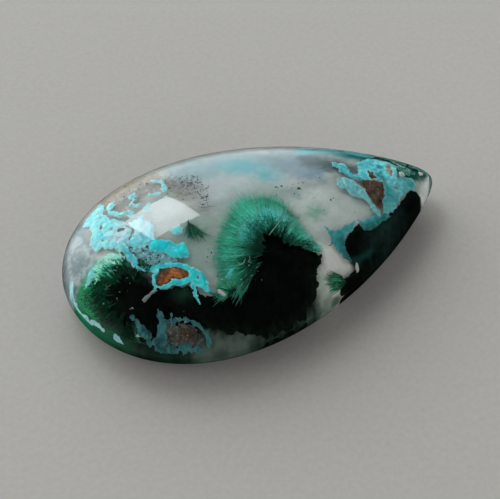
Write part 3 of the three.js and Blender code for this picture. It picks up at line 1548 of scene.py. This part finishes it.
def masses() -> tuple[Crust, ...]:
    """The black malachite masses that the plumes grow from.

    Returns:
        The four masses.
    """
    core = {"finish": DARK_FINISH, "slot": Slot.MALACHITE, "grows_from": 0.25,
            "thickness": 0.45, "swell": 0.2, "cell": 0.12}
    return (
        Crust("malachite_core_right", Region((Patch((
            (-1.1, -2.7), (-0.5, -2.0), (0.3, -2.0), (0.9, -2.9), (1.7, -4.6), (3.1, -5.5), (2.6, -6.1),
            (1.6, -7.0), (1.4, -7.9), (0.2, -8.8), (-1.4, -9.4), (-3.6, -9.5), (-6.4, -8.5), (-8.2, -7.2),
            (-7.4, -5.8), (-6.2, -6.1), (-4.8, -6.3), (-3.4, -6.0), (-2.8, -5.1), (-1.8, -3.9))),),
                                             ragged=0.3, seed=2),
            NEAR_BLACK, cover=0.62, edge_share=0.985, **core),
        Crust("malachite_core_left", Region((Patch((
            (-13.1, -2.8), (-12.6, -1.9), (-11.7, -1.5), (-10.5, -1.7), (-9.9, -3.7), (-8.6, -4.2),
            (-7.6, -4.7), (-6.9, -5.6), (-6.4, -6.4), (-7.8, -7.6), (-9.5, -7.0), (-11.3, -7.0),
            (-12.4, -5.8), (-13.0, -4.2))),), ragged=0.3, seed=3),
            NEAR_BLACK, cover=0.66, washes=(
                Wash(Region((Vein(((-12.9, -1.5), (-11.6, -1.0), (-10.6, -1.6), (-10.0, -2.8)), 0.4, 0.4),),
                            ragged=0.5), shade(32, 72, 58), 0.8, 0.8),
                Wash(Region((Spot(-8.0, -5.2, 0.5, 1.4, -30),), ragged=0.2), shade(40, 74, 60), 0.6, 0.7),
                Wash(Region((Vein(((-7.8, -6.4), (-6.8, -6.2)), 0.7, 0.7),), ragged=0.3), shade(14, 19, 16),
                     1.0)),
            **core),
        Crust("malachite_core_tip", Region((Patch((
            (4.8, -5.5), (5.1, -4.9), (5.6, -4.4), (6.2, -4.0), (6.8, -3.6), (7.0, -4.3), (7.8, -4.3),
            (8.6, -4.0), (9.4, -3.3), (10.1, -3.0), (10.9, -2.6), (11.6, -2.1), (12.4, -1.6), (13.2, -1.2),
            (13.6, -1.6), (13.4, -2.2), (12.8, -2.8), (10.4, -4.7), (8.0, -6.2), (6.4, -7.0), (5.4, -6.4),
            (4.8, -6.0))),), ragged=0.12, seed=4),
            NEAR_BLACK, cover=0.5, edge_share=0.985, washes=(
                Wash(Region((Spot(9.0, -4.2, 0.7, 2.4, 35),), ragged=0.4), shade(46, 74, 70), 1.0, 0.7),
                Wash(Region((Vein(((5.2, -6.4), (6.1, -6.15), (7.2, -5.7)), 0.18, 0.1),), ragged=0.1),
                     shade(34, 80, 76), 0.2, 0.8)),
            **core),
        Crust("malachite_core_low", Region((Patch((
            (5.1, -6.8), (4.3, -7.1), (3.7, -7.5), (3.5, -7.9), (3.9, -8.2), (5.0, -8.2), (6.4, -7.4),
            (6.2, -6.8), (5.6, -6.7))),), ragged=0.1, seed=5),
            NEAR_BLACK, cover=0.5, edge_share=0.985, **core),
    )


def left_crusts() -> tuple[Crust, ...]:
    """The sky-blue crusts over the blunt end, with the web that hangs from them.

    Returns:
        The crusts.
    """
    blue = {"finish": CRUST_FINISH, "slot": Slot.CHRYSOCOLLA}
    pale = shade(214, 240, 244)
    return (
        Crust("chrysocolla_left", Region((Patch((
            (-10.8, 6.8), (-11.7, 6.3), (-12.3, 5.8), (-12.9, 5.2), (-12.4, 4.4), (-12.5, 3.6),
            (-13.0, 2.7), (-12.9, 1.6), (-12.3, 1.5), (-11.6, 1.0), (-11.2, 0.4), (-10.8, 0.3),
            (-10.4, 0.9), (-10.0, 1.3), (-9.8, 2.2), (-10.2, 3.3), (-10.8, 4.0), (-11.2, 5.0),
            (-10.8, 5.7))),),
            holes=(Spot(-11.7, 3.7, 0.15, 1.4, 60), Spot(-12.2, 2.3, 0.17), Spot(-11.2, 2.8, 0.12),
                   Spot(-12.6, 4.4, 0.25), Spot(-10.5, 2.4, 0.2, 1.5, 40), Spot(-11.0, 1.7, 0.16, 1.6, 20)),
            ragged=0.2, size=0.5, lace=0.16, seed=5), SKY_BLUE, edge_share=0.975,
            washes=(Wash(Region((Spot(-10.6, 2.2, 0.8, 1.3, 40),), ragged=0.3, size=0.4), pale, 0.5, 0.8),),
            **blue),
        Crust("chrysocolla_middle", Region((
            Patch(((-9.7, 2.7), (-8.6, 2.7), (-8.1, 1.6), (-8.4, 0.6), (-8.6, -0.1), (-9.4, -0.3),
                   (-10.2, 0.1), (-10.6, 0.6), (-9.9, 1.2), (-9.7, 1.8))),
            Spot(-7.9, 3.6, 0.24, 1.7, 20), Spot(-9.3, 3.4, 0.22, 1.4, 80)),
            ragged=0.2, size=0.5, lace=0.1, seed=25), SKY_BLUE, cover=0.28,
            washes=(Wash(Region((Spot(-9.0, 1.6, 0.7, 1.4, 70),), ragged=0.3, size=0.4), pale, 0.5, 0.7),),
            **blue),
        Crust("chrysocolla_lobe", Region((Patch((
            (-9.0, 0.4), (-8.2, -0.1), (-7.7, -0.4), (-7.2, -1.0), (-6.6, -1.3), (-6.55, -2.0),
            (-6.9, -2.6),
            (-7.7, -2.2), (-8.1, -1.7), (-8.6, -1.2), (-9.2, -0.7))),),
            holes=(Spot(-7.7, -1.15, 0.14), Spot(-7.9, -2.2, 0.14), Spot(-7.4, -1.6, 0.07)),
            ragged=0.15, size=0.5, seed=6), TURQUOISE, cover=0.2, thickness=0.4, **blue),
        Crust("chrysocolla_porous", Region((Patch((
            (-10.6, 0.3), (-9.6, -0.1), (-9.0, -0.8), (-8.4, -1.3), (-7.6, -2.3), (-7.8, -2.7),
            (-8.6, -2.4), (-9.3, -2.2), (-9.9, -1.6), (-10.2, -0.6))),), ragged=0.15, size=0.35, lace=0.3,
            seed=26), GREY_BLUE, cover=0.35, cell=0.07, **blue),
        Crust("chrysocolla_islands", Region((
            Spot(-6.7, 0.0, 0.42), Spot(-10.4, 5.5, 0.34, 1.6, 60), Spot(-8.5, 5.4, 0.34, 1.2, -30),
            Vein(((-8.6, 5.0), (-9.0, 4.4), (-8.6, 4.1)), 0.1, 0.18),
            Vein(((-7.3, 4.7), (-6.6, 4.4)), 0.2, 0.14),
            Vein(((-8.3, 3.4), (-7.8, 3.0)), 0.16, 0.12), Spot(-8.8, 2.5, 0.24, 1.4, 80),
            Vein(((-10.6, 4.6), (-10.1, 3.9), (-9.5, 3.8)), 0.26, 0.14),
            Vein(((-6.6, 6.5), (-5.9, 5.7), (-6.1, 4.6)), 0.1, 0.24),
            Vein(((-11.0, 0.7), (-10.8, -0.1), (-10.7, -0.9), (-10.6, -1.7), (-10.2, -2.2)), 0.34, 0.2),
            Patch(((-14.7, -0.9), (-14.2, -0.1), (-13.6, 0.35), (-13.3, 0.4), (-13.4, -0.3),
                   (-13.9, -0.7)))),
            ragged=0.16, size=0.4, seed=7), SKY_BLUE, cell=0.07, cover=0.15, swell=0.15, **blue),
        Crust("chrysocolla_web", Region((
            Vein(((-10.0, -2.0), (-9.6, -2.3), (-9.1, -2.3), (-8.5, -2.5), (-7.6, -2.9), (-7.1, -3.5)),
                 0.2, 0.2),
            Vein(((-9.4, -2.6), (-9.8, -3.1), (-9.9, -3.7), (-9.5, -4.0)), 0.12, 0.12),
            Vein(((-9.5, -4.0), (-9.0, -4.1), (-8.5, -4.0), (-8.2, -4.3), (-7.4, -4.3)), 0.18, 0.26),
            Patch(((-7.3, -3.4), (-6.8, -3.5), (-6.4, -4.0), (-6.2, -4.8), (-6.3, -5.4), (-6.7, -5.4),
                   (-7.1, -5.0), (-7.4, -4.5))),
            Vein(((-7.3, -4.8), (-7.4, -5.6), (-7.4, -6.3)), 0.18, 0.07),
            Vein(((-9.8, -3.9), (-10.4, -4.1), (-11.0, -4.3)), 0.09, 0.15),
            Vein(((-6.6, -5.3), (-6.2, -6.0), (-5.6, -6.7)), 0.18, 0.09),
            Patch(((-3.5, -4.0), (-3.8, -4.9), (-4.3, -5.4), (-5.2, -5.3), (-4.6, -4.9), (-4.1, -4.6)))),
            holes=(Spot(-6.8, -4.4, 0.13, 1.5, 60),),
            ragged=0.12, size=0.4, seed=8), TURQUOISE, cell=0.065, **blue,
            washes=(Wash(Region((Spot(-10.7, -4.2, 0.6),)), shade(150, 164, 160), 0.3),
                    Wash(Region((Spot(-4.4, -4.9, 0.9),)), shade(110, 190, 200), 0.4, 0.6),
                    Wash(Region((Spot(-5.9, -6.4, 0.7),)), shade(60, 130, 110), 0.3))),
        Crust("chrysocolla_lower_web", Region((
            Vein(((-12.3, -5.0), (-12.1, -5.6), (-11.9, -6.3), (-11.5, -7.0), (-11.0, -7.4)), 0.12, 0.3),
            Vein(((-10.4, -5.5), (-10.4, -6.0), (-10.5, -6.6), (-10.8, -7.3)), 0.09, 0.36),
            Vein(((-9.7, -6.1), (-9.7, -6.6), (-8.6, -7.1), (-8.0, -7.7), (-7.6, -8.4), (-7.7, -8.9)),
                 0.09, 0.16),
            Vein(((-10.4, -6.4), (-9.7, -6.7)), 0.16, 0.12),
            Vein(((-11.2, -7.5), (-10.4, -8.1), (-9.5, -8.4), (-8.4, -8.9)), 0.22, 0.14)),
            ragged=0.2, size=0.45, lace=0.06, seed=10), DIM_BLUE, cover=0.12, swell=0.1, cell=0.08,
              edge_share=0.985,
            **blue),
        # a thin chrysocolla line along the blunt end's rim, painted pale also as the glint of light on the
        # rim
        Crust("chrysocolla_edge_and_glint", Region((
            Vein(((-15.4, 0.4), (-15.75, -0.6), (-15.65, -2.0), (-15.1, -3.4)), 0.16, 0.12),
            Vein(((-15.0, -3.2), (-14.4, -4.5)), 0.1, 0.05),
            Vein(((-13.8, -5.3), (-13.5, -6.0)), 0.12, 0.08)),
            ragged=0.06, size=0.5, seed=12), Tints(shade(184, 250, 252), shade(104, 208, 220),
                                                  shade(214, 250, 250)), cell=0.06, edge_share=0.99,
              cover=0.1,
            thickness=0.15, **blue),
    )


def tip_crusts() -> tuple[Crust, ...]:
    """The crusts at the pointed end, down to the ridge beside the window.

    Returns:
        The crusts.
    """
    blue = {"finish": CRUST_FINISH, "slot": Slot.CHRYSOCOLLA}
    tan_gap = Patch(((11.8, 1.2), (12.0, 0.9), (11.9, 0.3), (11.5, -0.3), (11.3, -0.1), (11.4, 0.5)))
    brown_gap = Patch(((9.9, 0.7), (10.1, 0.3), (10.3, -0.3), (9.7, -0.3), (9.6, 0.1)))
    return (
        Crust("chrysocolla_tip", Region((
            Patch(((9.2, 1.7), (9.7, 1.8), (10.6, 2.1), (11.1, 2.0), (11.5, 1.7), (12.1, 1.4), (12.5, 0.6),
                   (12.1, 0.0), (11.9, -0.7), (11.5, -1.0), (10.9, -1.0), (10.4, -0.6), (9.7, -0.4),
                   (8.8, -0.3), (8.2, 0.2), (7.8, 0.6), (7.5, 1.2), (7.3, 1.8), (7.5, 2.3), (8.3, 1.9),
                   (8.3, 1.0), (8.5, 0.4), (9.0, 0.6), (9.2, 1.0))),),
            holes=(tan_gap, brown_gap), ragged=0.16, size=0.4, lace=0.14, seed=13),
            TIP_BLUE, edge_share=0.975, cell=0.075, **blue,
            washes=(Wash(Region((Spot(9.9, 1.4, 0.5), Spot(8.2, 0.5, 0.5, 1.8, -45)), ragged=0.3, size=0.4),
                         shade(96, 214, 226), 0.4, 0.8),)),
        Crust("chrysocolla_wing", Region((
            Patch(((6.8, 0.3), (7.5, 0.4), (8.1, 0.0), (8.3, -0.7), (8.7, -1.0), (8.7, -1.8), (8.8, -2.6),
                   (9.2, -3.0), (9.0, -3.6), (8.6, -3.4), (8.4, -2.6), (8.3, -1.9), (7.9, -1.8),
                   (7.4, -1.5),
                   (7.2, -0.9), (6.8, -0.6))),),
            ragged=0.16, size=0.5, lace=0.1, seed=14), Tints(shade(136, 220, 226), shade(96, 196, 206),
                                                            shade(190, 236, 236)), cover=0.3, **blue),
        Crust("chrysocolla_tip_right", Region((Patch((
            (10.5, -0.8), (11.3, -0.9), (11.9, -0.6), (12.5, -0.3), (13.1, -0.4), (13.5, -0.7),
            (13.4, -1.1), (12.7, -1.4), (12.1, -1.8), (11.5, -2.1), (11.0, -2.6), (10.5, -2.9),
            (9.8, -3.3), (9.4, -3.2), (9.6, -2.5), (10.1, -1.8), (10.4, -1.2))),),
            holes=(Spot(11.3, -1.2, 0.12), Spot(11.6, -1.35, 0.14, 1.6, 20)),
            ragged=0.18, size=0.5, seed=15), Tints(shade(112, 204, 208), shade(66, 172, 178),
                                                  shade(160, 226, 228)), **blue),
        Crust("chrysocolla_ridge", Region((
            Patch(((4.0, -3.5), (4.3, -3.9), (4.6, -4.1), (5.2, -4.0), (5.6, -3.9), (6.1, -3.8),
                   (6.7, -3.5),
                   (6.4, -4.0), (5.9, -4.4), (5.4, -4.6), (5.1, -5.0), (4.9, -5.5), (5.0, -6.0),
                   (5.1, -6.4),
                   (4.5, -6.1), (4.2, -5.6), (4.1, -5.1), (3.8, -5.1), (4.1, -4.6), (4.1, -4.1))),
            Patch(((6.8, -3.6), (7.2, -3.7), (7.8, -3.5), (8.3, -3.4), (8.9, -3.4), (9.4, -3.2),
                   (9.9, -3.4),
                   (9.0, -3.9), (8.4, -4.1), (7.7, -4.4), (7.1, -4.4)))),
            ragged=0.12, size=0.45, seed=16), SEA_BLUE, cell=0.07, **blue,
            washes=(Wash(Region((Vein(((5.0, -5.2), (4.9, -6.2)), 0.3, 0.4),)), shade(50, 130, 124), 0.3),
                    Wash(Region((Vein(((7.0, -4.5), (8.6, -4.3), (9.8, -3.7)), 0.3, 0.3),)),
                         shade(34, 96, 92), 0.4))),
        Crust("chrysocolla_upper_edge", Region((
            Vein(((6.4, 4.7), (7.9, 4.3), (9.2, 3.7), (10.3, 3.0), (11.0, 2.5)), 0.2, 0.4),),
            ragged=0.2, size=0.5, seed=17), SEA_BLUE, edge_share=0.985, cover=0.1, thickness=0.08,
            **blue),
        Crust("malachite_upper_edge", Region((
            Vein(((11.2, 2.9), (12.2, 2.3), (13.0, 1.5), (14.0, 0.9), (15.0, 0.4)), 0.3, 0.25),
            Patch(((12.6, 0.8), (13.4, 0.6), (13.9, 0.2), (13.4, -0.3), (12.8, -0.2), (12.5, 0.1)))),
            ragged=0.2, size=0.4, lace=0.15, seed=18),
            Tints(shade(66, 142, 126), shade(34, 94, 82), shade(120, 184, 170)), DARK_FINISH,
            Slot.MALACHITE, cell=0.07, edge_share=0.98, cover=0.25),
    )


def stains() -> tuple[Crust, ...]:
    """The iron-stained earthy patches and the white healed cracks.

    Returns:
        The stains and lumps.
    """
    orange = Tints(shade(196, 116, 70), shade(138, 86, 56), shade(112, 78, 54))
    brown = Tints(shade(104, 84, 72), shade(48, 40, 36), shade(140, 94, 66))
    murky = Tints(shade(104, 102, 94), shade(48, 48, 46), shade(100, 124, 124))
    sand = Tints(shade(206, 190, 160), shade(160, 150, 130), shade(214, 220, 206))
    white = Tints(shade(244, 240, 230), shade(206, 206, 196), shade(230, 234, 230))
    dim = Tints(shade(150, 196, 180), shade(110, 160, 144), shade(150, 190, 178))
    earth = {"finish": EARTH_FINISH, "slot": Slot.IRON}
    return (
        Crust("iron_patch", Region((Patch((
            (-9.7, -3.5), (-9.4, -3.0), (-8.9, -2.7), (-8.2, -2.7), (-7.7, -3.1), (-7.3, -3.3),
            (-7.2, -4.0),
            (-7.9, -4.1), (-8.4, -3.8), (-9.0, -3.9), (-9.4, -4.1))),), ragged=0.1, size=0.4, seed=9),
            orange, cover=0.42, cell=0.07, **earth),
        Crust("iron_lower", Region((
            Patch(((-10.6, -6.6), (-9.8, -6.6), (-9.1, -7.0), (-8.4, -7.6), (-8.0, -8.4), (-8.6, -8.7),
                   (-9.4, -8.4), (-10.2, -7.8), (-10.9, -7.4))),), ragged=0.15, size=0.4, lace=0.12,
                                   seed=11),
            murky, cover=0.34, cell=0.07, washes=(
                Wash(Region((Spot(-9.0, -7.8, 0.45),), ragged=0.2, size=0.4), shade(112, 76, 58), 0.3, 0.5),
                Wash(Region((Spot(-8.6, -8.0, 0.3), Spot(-10.5, -7.3, 0.25)), ragged=0.2, size=0.3),
                     shade(78, 58, 34), 0.2, 0.7)), **earth),
        Crust("iron_tip", Region((
            Patch(((8.8, -0.1), (9.6, -0.2), (10.3, -0.5), (10.6, -0.9), (10.2, -1.7), (9.7, -2.4),
                   (9.2, -2.8), (8.8, -2.0), (8.7, -1.1))),
            Patch(((9.9, 0.8), (10.2, 0.3), (10.4, -0.4), (9.7, -0.4), (9.5, 0.1)))), ragged=0.1, size=0.4,
            seed=14), brown, cover=0.4, cell=0.07, **earth,
            washes=(Wash(Region((Spot(9.6, -0.3, 0.4, 2.0, -20),), ragged=0.2, size=0.4),
                         shade(112, 66, 44), 0.25, 0.8),)),
        Crust("iron_sand", Region((
            Patch(((11.8, 1.4), (12.1, 0.9), (12.0, 0.2), (11.5, -0.5), (11.2, -0.2), (11.3, 0.5))),),
            ragged=0.1, seed=19), sand, cover=0.4, cell=0.07, **earth),
        # painted highlight: a pale mint sheet under the left plume's fibres where light grazes them
        Crust("malachite_mint_sheen", Region((
            Vein(((-13.6, -0.7), (-13.1, -0.1), (-12.4, 0.1), (-11.8, -0.1)), 0.3, 0.5),),
            ragged=0.4, size=0.35, lace=0.25, seed=22),
            Tints(shade(150, 255, 228), shade(104, 236, 190), shade(206, 255, 244), 0.3), CRUST_FINISH,
            Slot.MALACHITE, cover=0.12, thickness=0.12, cell=0.06),
        Crust("quartz_fractures", Region((
            Spot(5.45, -6.72, 0.14, 1.7, 75), Vein(((-5.7, -6.1), (-5.4, -6.5)), 0.14, 0.1),
            Spot(12.6, -0.1, 0.2, 1.5, 40), Spot(14.5, 0.1, 0.14, 1.6, 0),
            Vein(((12.5, 1.4), (13.1, 0.6), (13.6, 0.1)), 0.05, 0.03),
            Vein(((-12.4, -6.2), (-12.1, -6.4)), 0.06, 0.04),
            Vein(((3.0, -8.1), (3.6, -8.0)), 0.08, 0.04), Spot(-11.9, -1.1, 0.1),
            Spot(7.0, -2.9, 0.1, 1.6, 20)),
            ragged=0.06, size=0.3, seed=20), white, CRUST_FINISH, Slot.CHALCEDONY, cover=0.15, cell=0.05),
        Crust("polish_scratches", Region((
            Vein(((1.8, -0.3), (1.75, -0.8), (1.6, -1.3), (1.35, -1.7), (1.0, -2.1), (0.55, -2.6),
                  (0.1, -2.9), (-0.5, -3.3)), 0.02, 0.035),
            Vein(((-3.6, -4.7), (-3.55, -4.9), (-3.3, -4.9), (-3.0, -4.6)), 0.025, 0.02),
            Vein(((-2.9, -4.9), (-2.7, -4.75), (-2.6, -4.5)), 0.02, 0.02),
            Vein(((-13.4, -2.1), (-13.1, -2.0), (-12.9, -2.05)), 0.02, 0.015)),
            ragged=0.0, size=0.3, seed=21), dim, CRUST_FINISH, Slot.QUARTZ, cover=0.03, thickness=0.03,
            swell=0.05, knobs=0.0, cell=0.025),
    )


def sprays() -> tuple[Fibres, ...]:
    """The malachite plumes and tufts.

    Returns:
        The sprays.
    """
    return (
        Fibres("fibres_right", (-0.6, -4.9),
               ((-8, 2.6, 3.8, 0.3), (9, 2.0, 3.5, 0.6), (21, 1.7, 3.35, 0.8), (39, 1.6, 3.6, 1.0),
                (54, 2.0, 4.5, 1.2), (66, 2.2, 5.5, 1.4), (78, 2.2, 6.0, 1.6), (88, 2.1, 6.1, 1.6),
                (100, 1.9, 5.9, 1.6), (115, 1.6, 5.2, 1.6), (133, 1.3, 4.8, 1.6), (151, 1.3, 4.6, 1.5),
                (166, 1.4, 4.6, 1.4), (184, 1.9, 4.7, 1.2), (200, 2.2, 4.9, 1.0), (206, 3.0, 4.9, 0.4)),
               6000, thickness=0.04, streaks=0.7, straggle=0.5, root_color=shade(5, 66, 46),
               middle_color=shade(84, 228, 188), tip_color=shade(116, 214, 186),
               sheen_color=shade(160, 246, 224), washes=(
                   # painted highlight: the pale mint ridge where light glances off the fibres over the
                   # black core
                   Wash(Region((Vein(((-2.2, -3.0), (-1.4, -2.1), (-0.8, -1.7), (-0.1, -1.4), (0.5, -1.5),
                                      (1.0, -2.0)), 0.35, 0.35),)), shade(128, 248, 238), 0.5, 0.9),
                   Wash(Region((Vein(((-2.6, -4.0), (-3.0, -5.0), (-3.6, -5.8)), 0.5, 0.8),)),
                        shade(40, 130, 104), 0.9, 0.8),
                   Wash(Region((Vein(((-1.5, -2.6), (-2.2, -3.4), (-2.7, -4.6), (-3.2, -5.4)), 0.25,
                                     0.35),)),
                        shade(18, 92, 70), 0.5, 0.9),
                   Wash(Region((Vein(((2.0, -2.2), (2.8, -4.6)), 0.4, 0.4),)), shade(150, 220, 204), 0.6,
                        0.7))),
        # the mint ridge over the right core, its pale colour a painted sheen on the fibres
        Fibres("fibres_right_mint_sheen", (-0.6, -4.9),
               ((48, 2.6, 3.6, 0.6), (62, 2.7, 4.0, 1.0), (75, 2.8, 4.3, 1.3), (90, 2.7, 4.1, 1.4),
                (105, 2.5, 3.8, 1.2), (120, 2.3, 3.5, 0.8), (135, 2.2, 3.3, 0.4)), 2000, thickness=0.035,
               cover=0.1, dip=0.15, streaks=0.3, straggle=0.5, root_color=shade(24, 140, 108),
               middle_color=shade(112, 255, 236), tip_color=shade(120, 244, 218),
               sheen_color=shade(210, 255, 250), seed=7),
        Fibres("fibres_left", (-11.4, -3.6),
               ((40, 1.4, 2.5, 0.3), (70, 1.6, 2.8, 0.6), (90, 1.9, 3.4, 0.9), (100, 2.2, 3.8, 1.2),
                (108, 2.3, 4.1, 1.5), (122, 2.5, 4.3, 1.6), (135, 2.7, 4.6, 1.7), (150, 2.6, 4.9, 2.0),
                (170, 2.5, 4.9, 2.0), (185, 2.5, 4.5, 1.8), (200, 2.4, 4.3, 1.6), (225, 2.3, 4.2, 1.2),
                (242, 2.2, 4.0, 0.6), (254, 2.1, 3.6, 0.0)), 6300, straggle=0.5,
               thickness=0.04, spread=8.0, streaks=0.8, root_color=shade(20, 44, 31),
               middle_color=shade(16, 204, 134), tip_color=shade(30, 206, 146),
               sheen_color=shade(90, 226, 172), washes=(
                   # painted highlight: the pale mint where light grazes the plume's fibres
                   Wash(Region((Vein(((-13.9, -0.1), (-13.2, 0.3), (-12.3, 0.3)), 0.4, 0.4),)),
                        shade(150, 255, 226), 0.7),
                   Wash(Region((Vein(((-12.2, -0.6), (-11.2, -1.0), (-10.0, -2.4)), 0.7, 0.8),)),
                        shade(40, 106, 84), 0.7, 0.95),
                   Wash(Region((Vein(((-14.4, -4.6), (-13.4, -6.2)), 0.9, 0.9),)), shade(24, 104, 70),
                        0.9, 0.95),
                   Wash(Region((Vein(((-12.8, -6.6), (-11.6, -7.0), (-10.6, -7.2)), 0.9, 0.9),)),
                        shade(12, 56, 38), 0.6)),
               seed=2),
        # the mint highlight at the left plume's top, its pale colour a painted sheen on the fibres
        Fibres("fibres_mint_sheen", (-11.4, -3.6),
               ((90, 2.9, 3.7, 0.4), (100, 2.9, 4.0, 1.2), (112, 3.0, 4.3, 1.6), (124, 3.2, 4.4, 1.2),
                (132, 3.5, 4.5, 0.4)), 360, cover=0.12, dip=0.1, streaks=0.6, straggle=0.7,
               root_color=shade(20, 110, 72), middle_color=shade(120, 255, 210),
               tip_color=shade(164, 255, 230), sheen_color=shade(200, 255, 240), seed=6),
        Fibres("fibres_sprig", (-5.7, 0.3),
               ((236, 0.3, 1.1, 1.0), (256, 0.3, 1.5, 1.6), (264, 0.3, 1.9, 0.5), (272, 0.3, 1.1, 0.4),
                (282, 0.3, 2.2, 1.6), (296, 0.3, 2.3, 0.8), (306, 0.3, 1.1, 0.5)), 150, scatter=0.9,
               thickness=0.035, spread=18.0, root_color=shade(30, 96, 74), middle_color=shade(58, 142, 114),
               tip_color=shade(104, 166, 146), sheen_color=shade(76, 160, 132), seed=3),
        Fibres("fibres_window", (4.4, -7.5),
               ((150, 0.2, 1.4, 0.8), (165, 0.3, 1.9, 1.5), (180, 0.4, 2.2, 1.5), (200, 0.3, 1.9, 1.2)),
               130, spread=12.0, middle_color=shade(60, 160, 118), tip_color=shade(130, 196, 164), seed=4),
        Fibres("fibres_low", (-4.7, -6.7),
               ((60, 0.3, 1.5, 0.8), (100, 0.3, 1.8, 1.2), (150, 0.3, 1.6, 1.2), (180, 0.3, 1.2, 0.8)), 700,
               spread=12.0, middle_color=shade(84, 196, 156), tip_color=shade(130, 214, 184), seed=5),
    )


def specks() -> tuple[Grains, ...]:
    """The black oxide specks in the clear places, and the white flecks over the plumes.

    Returns:
        The grains.
    """
    black = Grains("black_specks", (
        (-5.1, 5.1, 0.5, 120), (-4.3, 4.9, 0.4, 90), (-3.8, 4.2, 0.4, 70), (-3.6, 3.2, 0.35, 60),
        (-3.7, 2.2, 0.3, 40), (-3.9, 1.4, 0.3, 30), (-4.9, 3.4, 0.5, 40), (-7.6, 6.4, 0.9, 70),
        (-9.8, 6.4, 0.6, 30),
        (2.2, 0.8, 0.5, 12), (3.6, -0.5, 1.0, 10), (5.5, -1.2, 1.2, 16), (-5.5, -3.0, 0.35, 16),
        (4.0, -5.2, 0.2, 8), (3.2, -8.0, 0.3, 20), (-9.5, -1.5, 0.35, 60), (9.0, 1.0, 1.0, 20),
        (-9.4, -7.4, 0.5, 40)), 0.036, shade(46, 44, 38), Slot.BLACK)
    white = Grains("white_flecks", (
        (-11.6, -0.3, 0.05, 2), (-13.9, -3.0, 0.06, 3), (-12.9, -3.3, 0.05, 3), (-12.1, -4.5, 0.1, 5),
        (-3.1, -6.0, 0.5, 14), (-3.0, -4.8, 0.3, 8), (-5.4, -3.2, 0.25, 12), (-9.3, -1.6, 0.4, 24),
        (-9.4, -7.4, 0.45, 20), (13.2, 0.3, 0.4, 10), (7.4, -2.9, 0.4, 8), (-12.6, -2.2, 0.8, 10)),
        0.03, shade(206, 214, 210), Slot.CHALCEDONY, cover=0.14, depth=0.15, seed=6)
    return black, white


def main() -> None:
    """Build the stone from its clear skin inwards, then its studio."""
    logging.basicConfig(level=logging.INFO, format="%(message)s")
    dome = PearDome.from_node(STONE_NODE)
    QuartzDome(dome).build()
    ChalcedonyBed(dome, washes(), shade(188, 193, 188)).build()
    for crust in masses() + left_crusts() + tip_crusts() + stains():
        crust.build(dome)
    for spray in sprays():
        spray.build(dome)
    for scatter in specks():
        scatter.build(dome)
    Studio(dome).build()


if __name__ == "__main__":
    main()
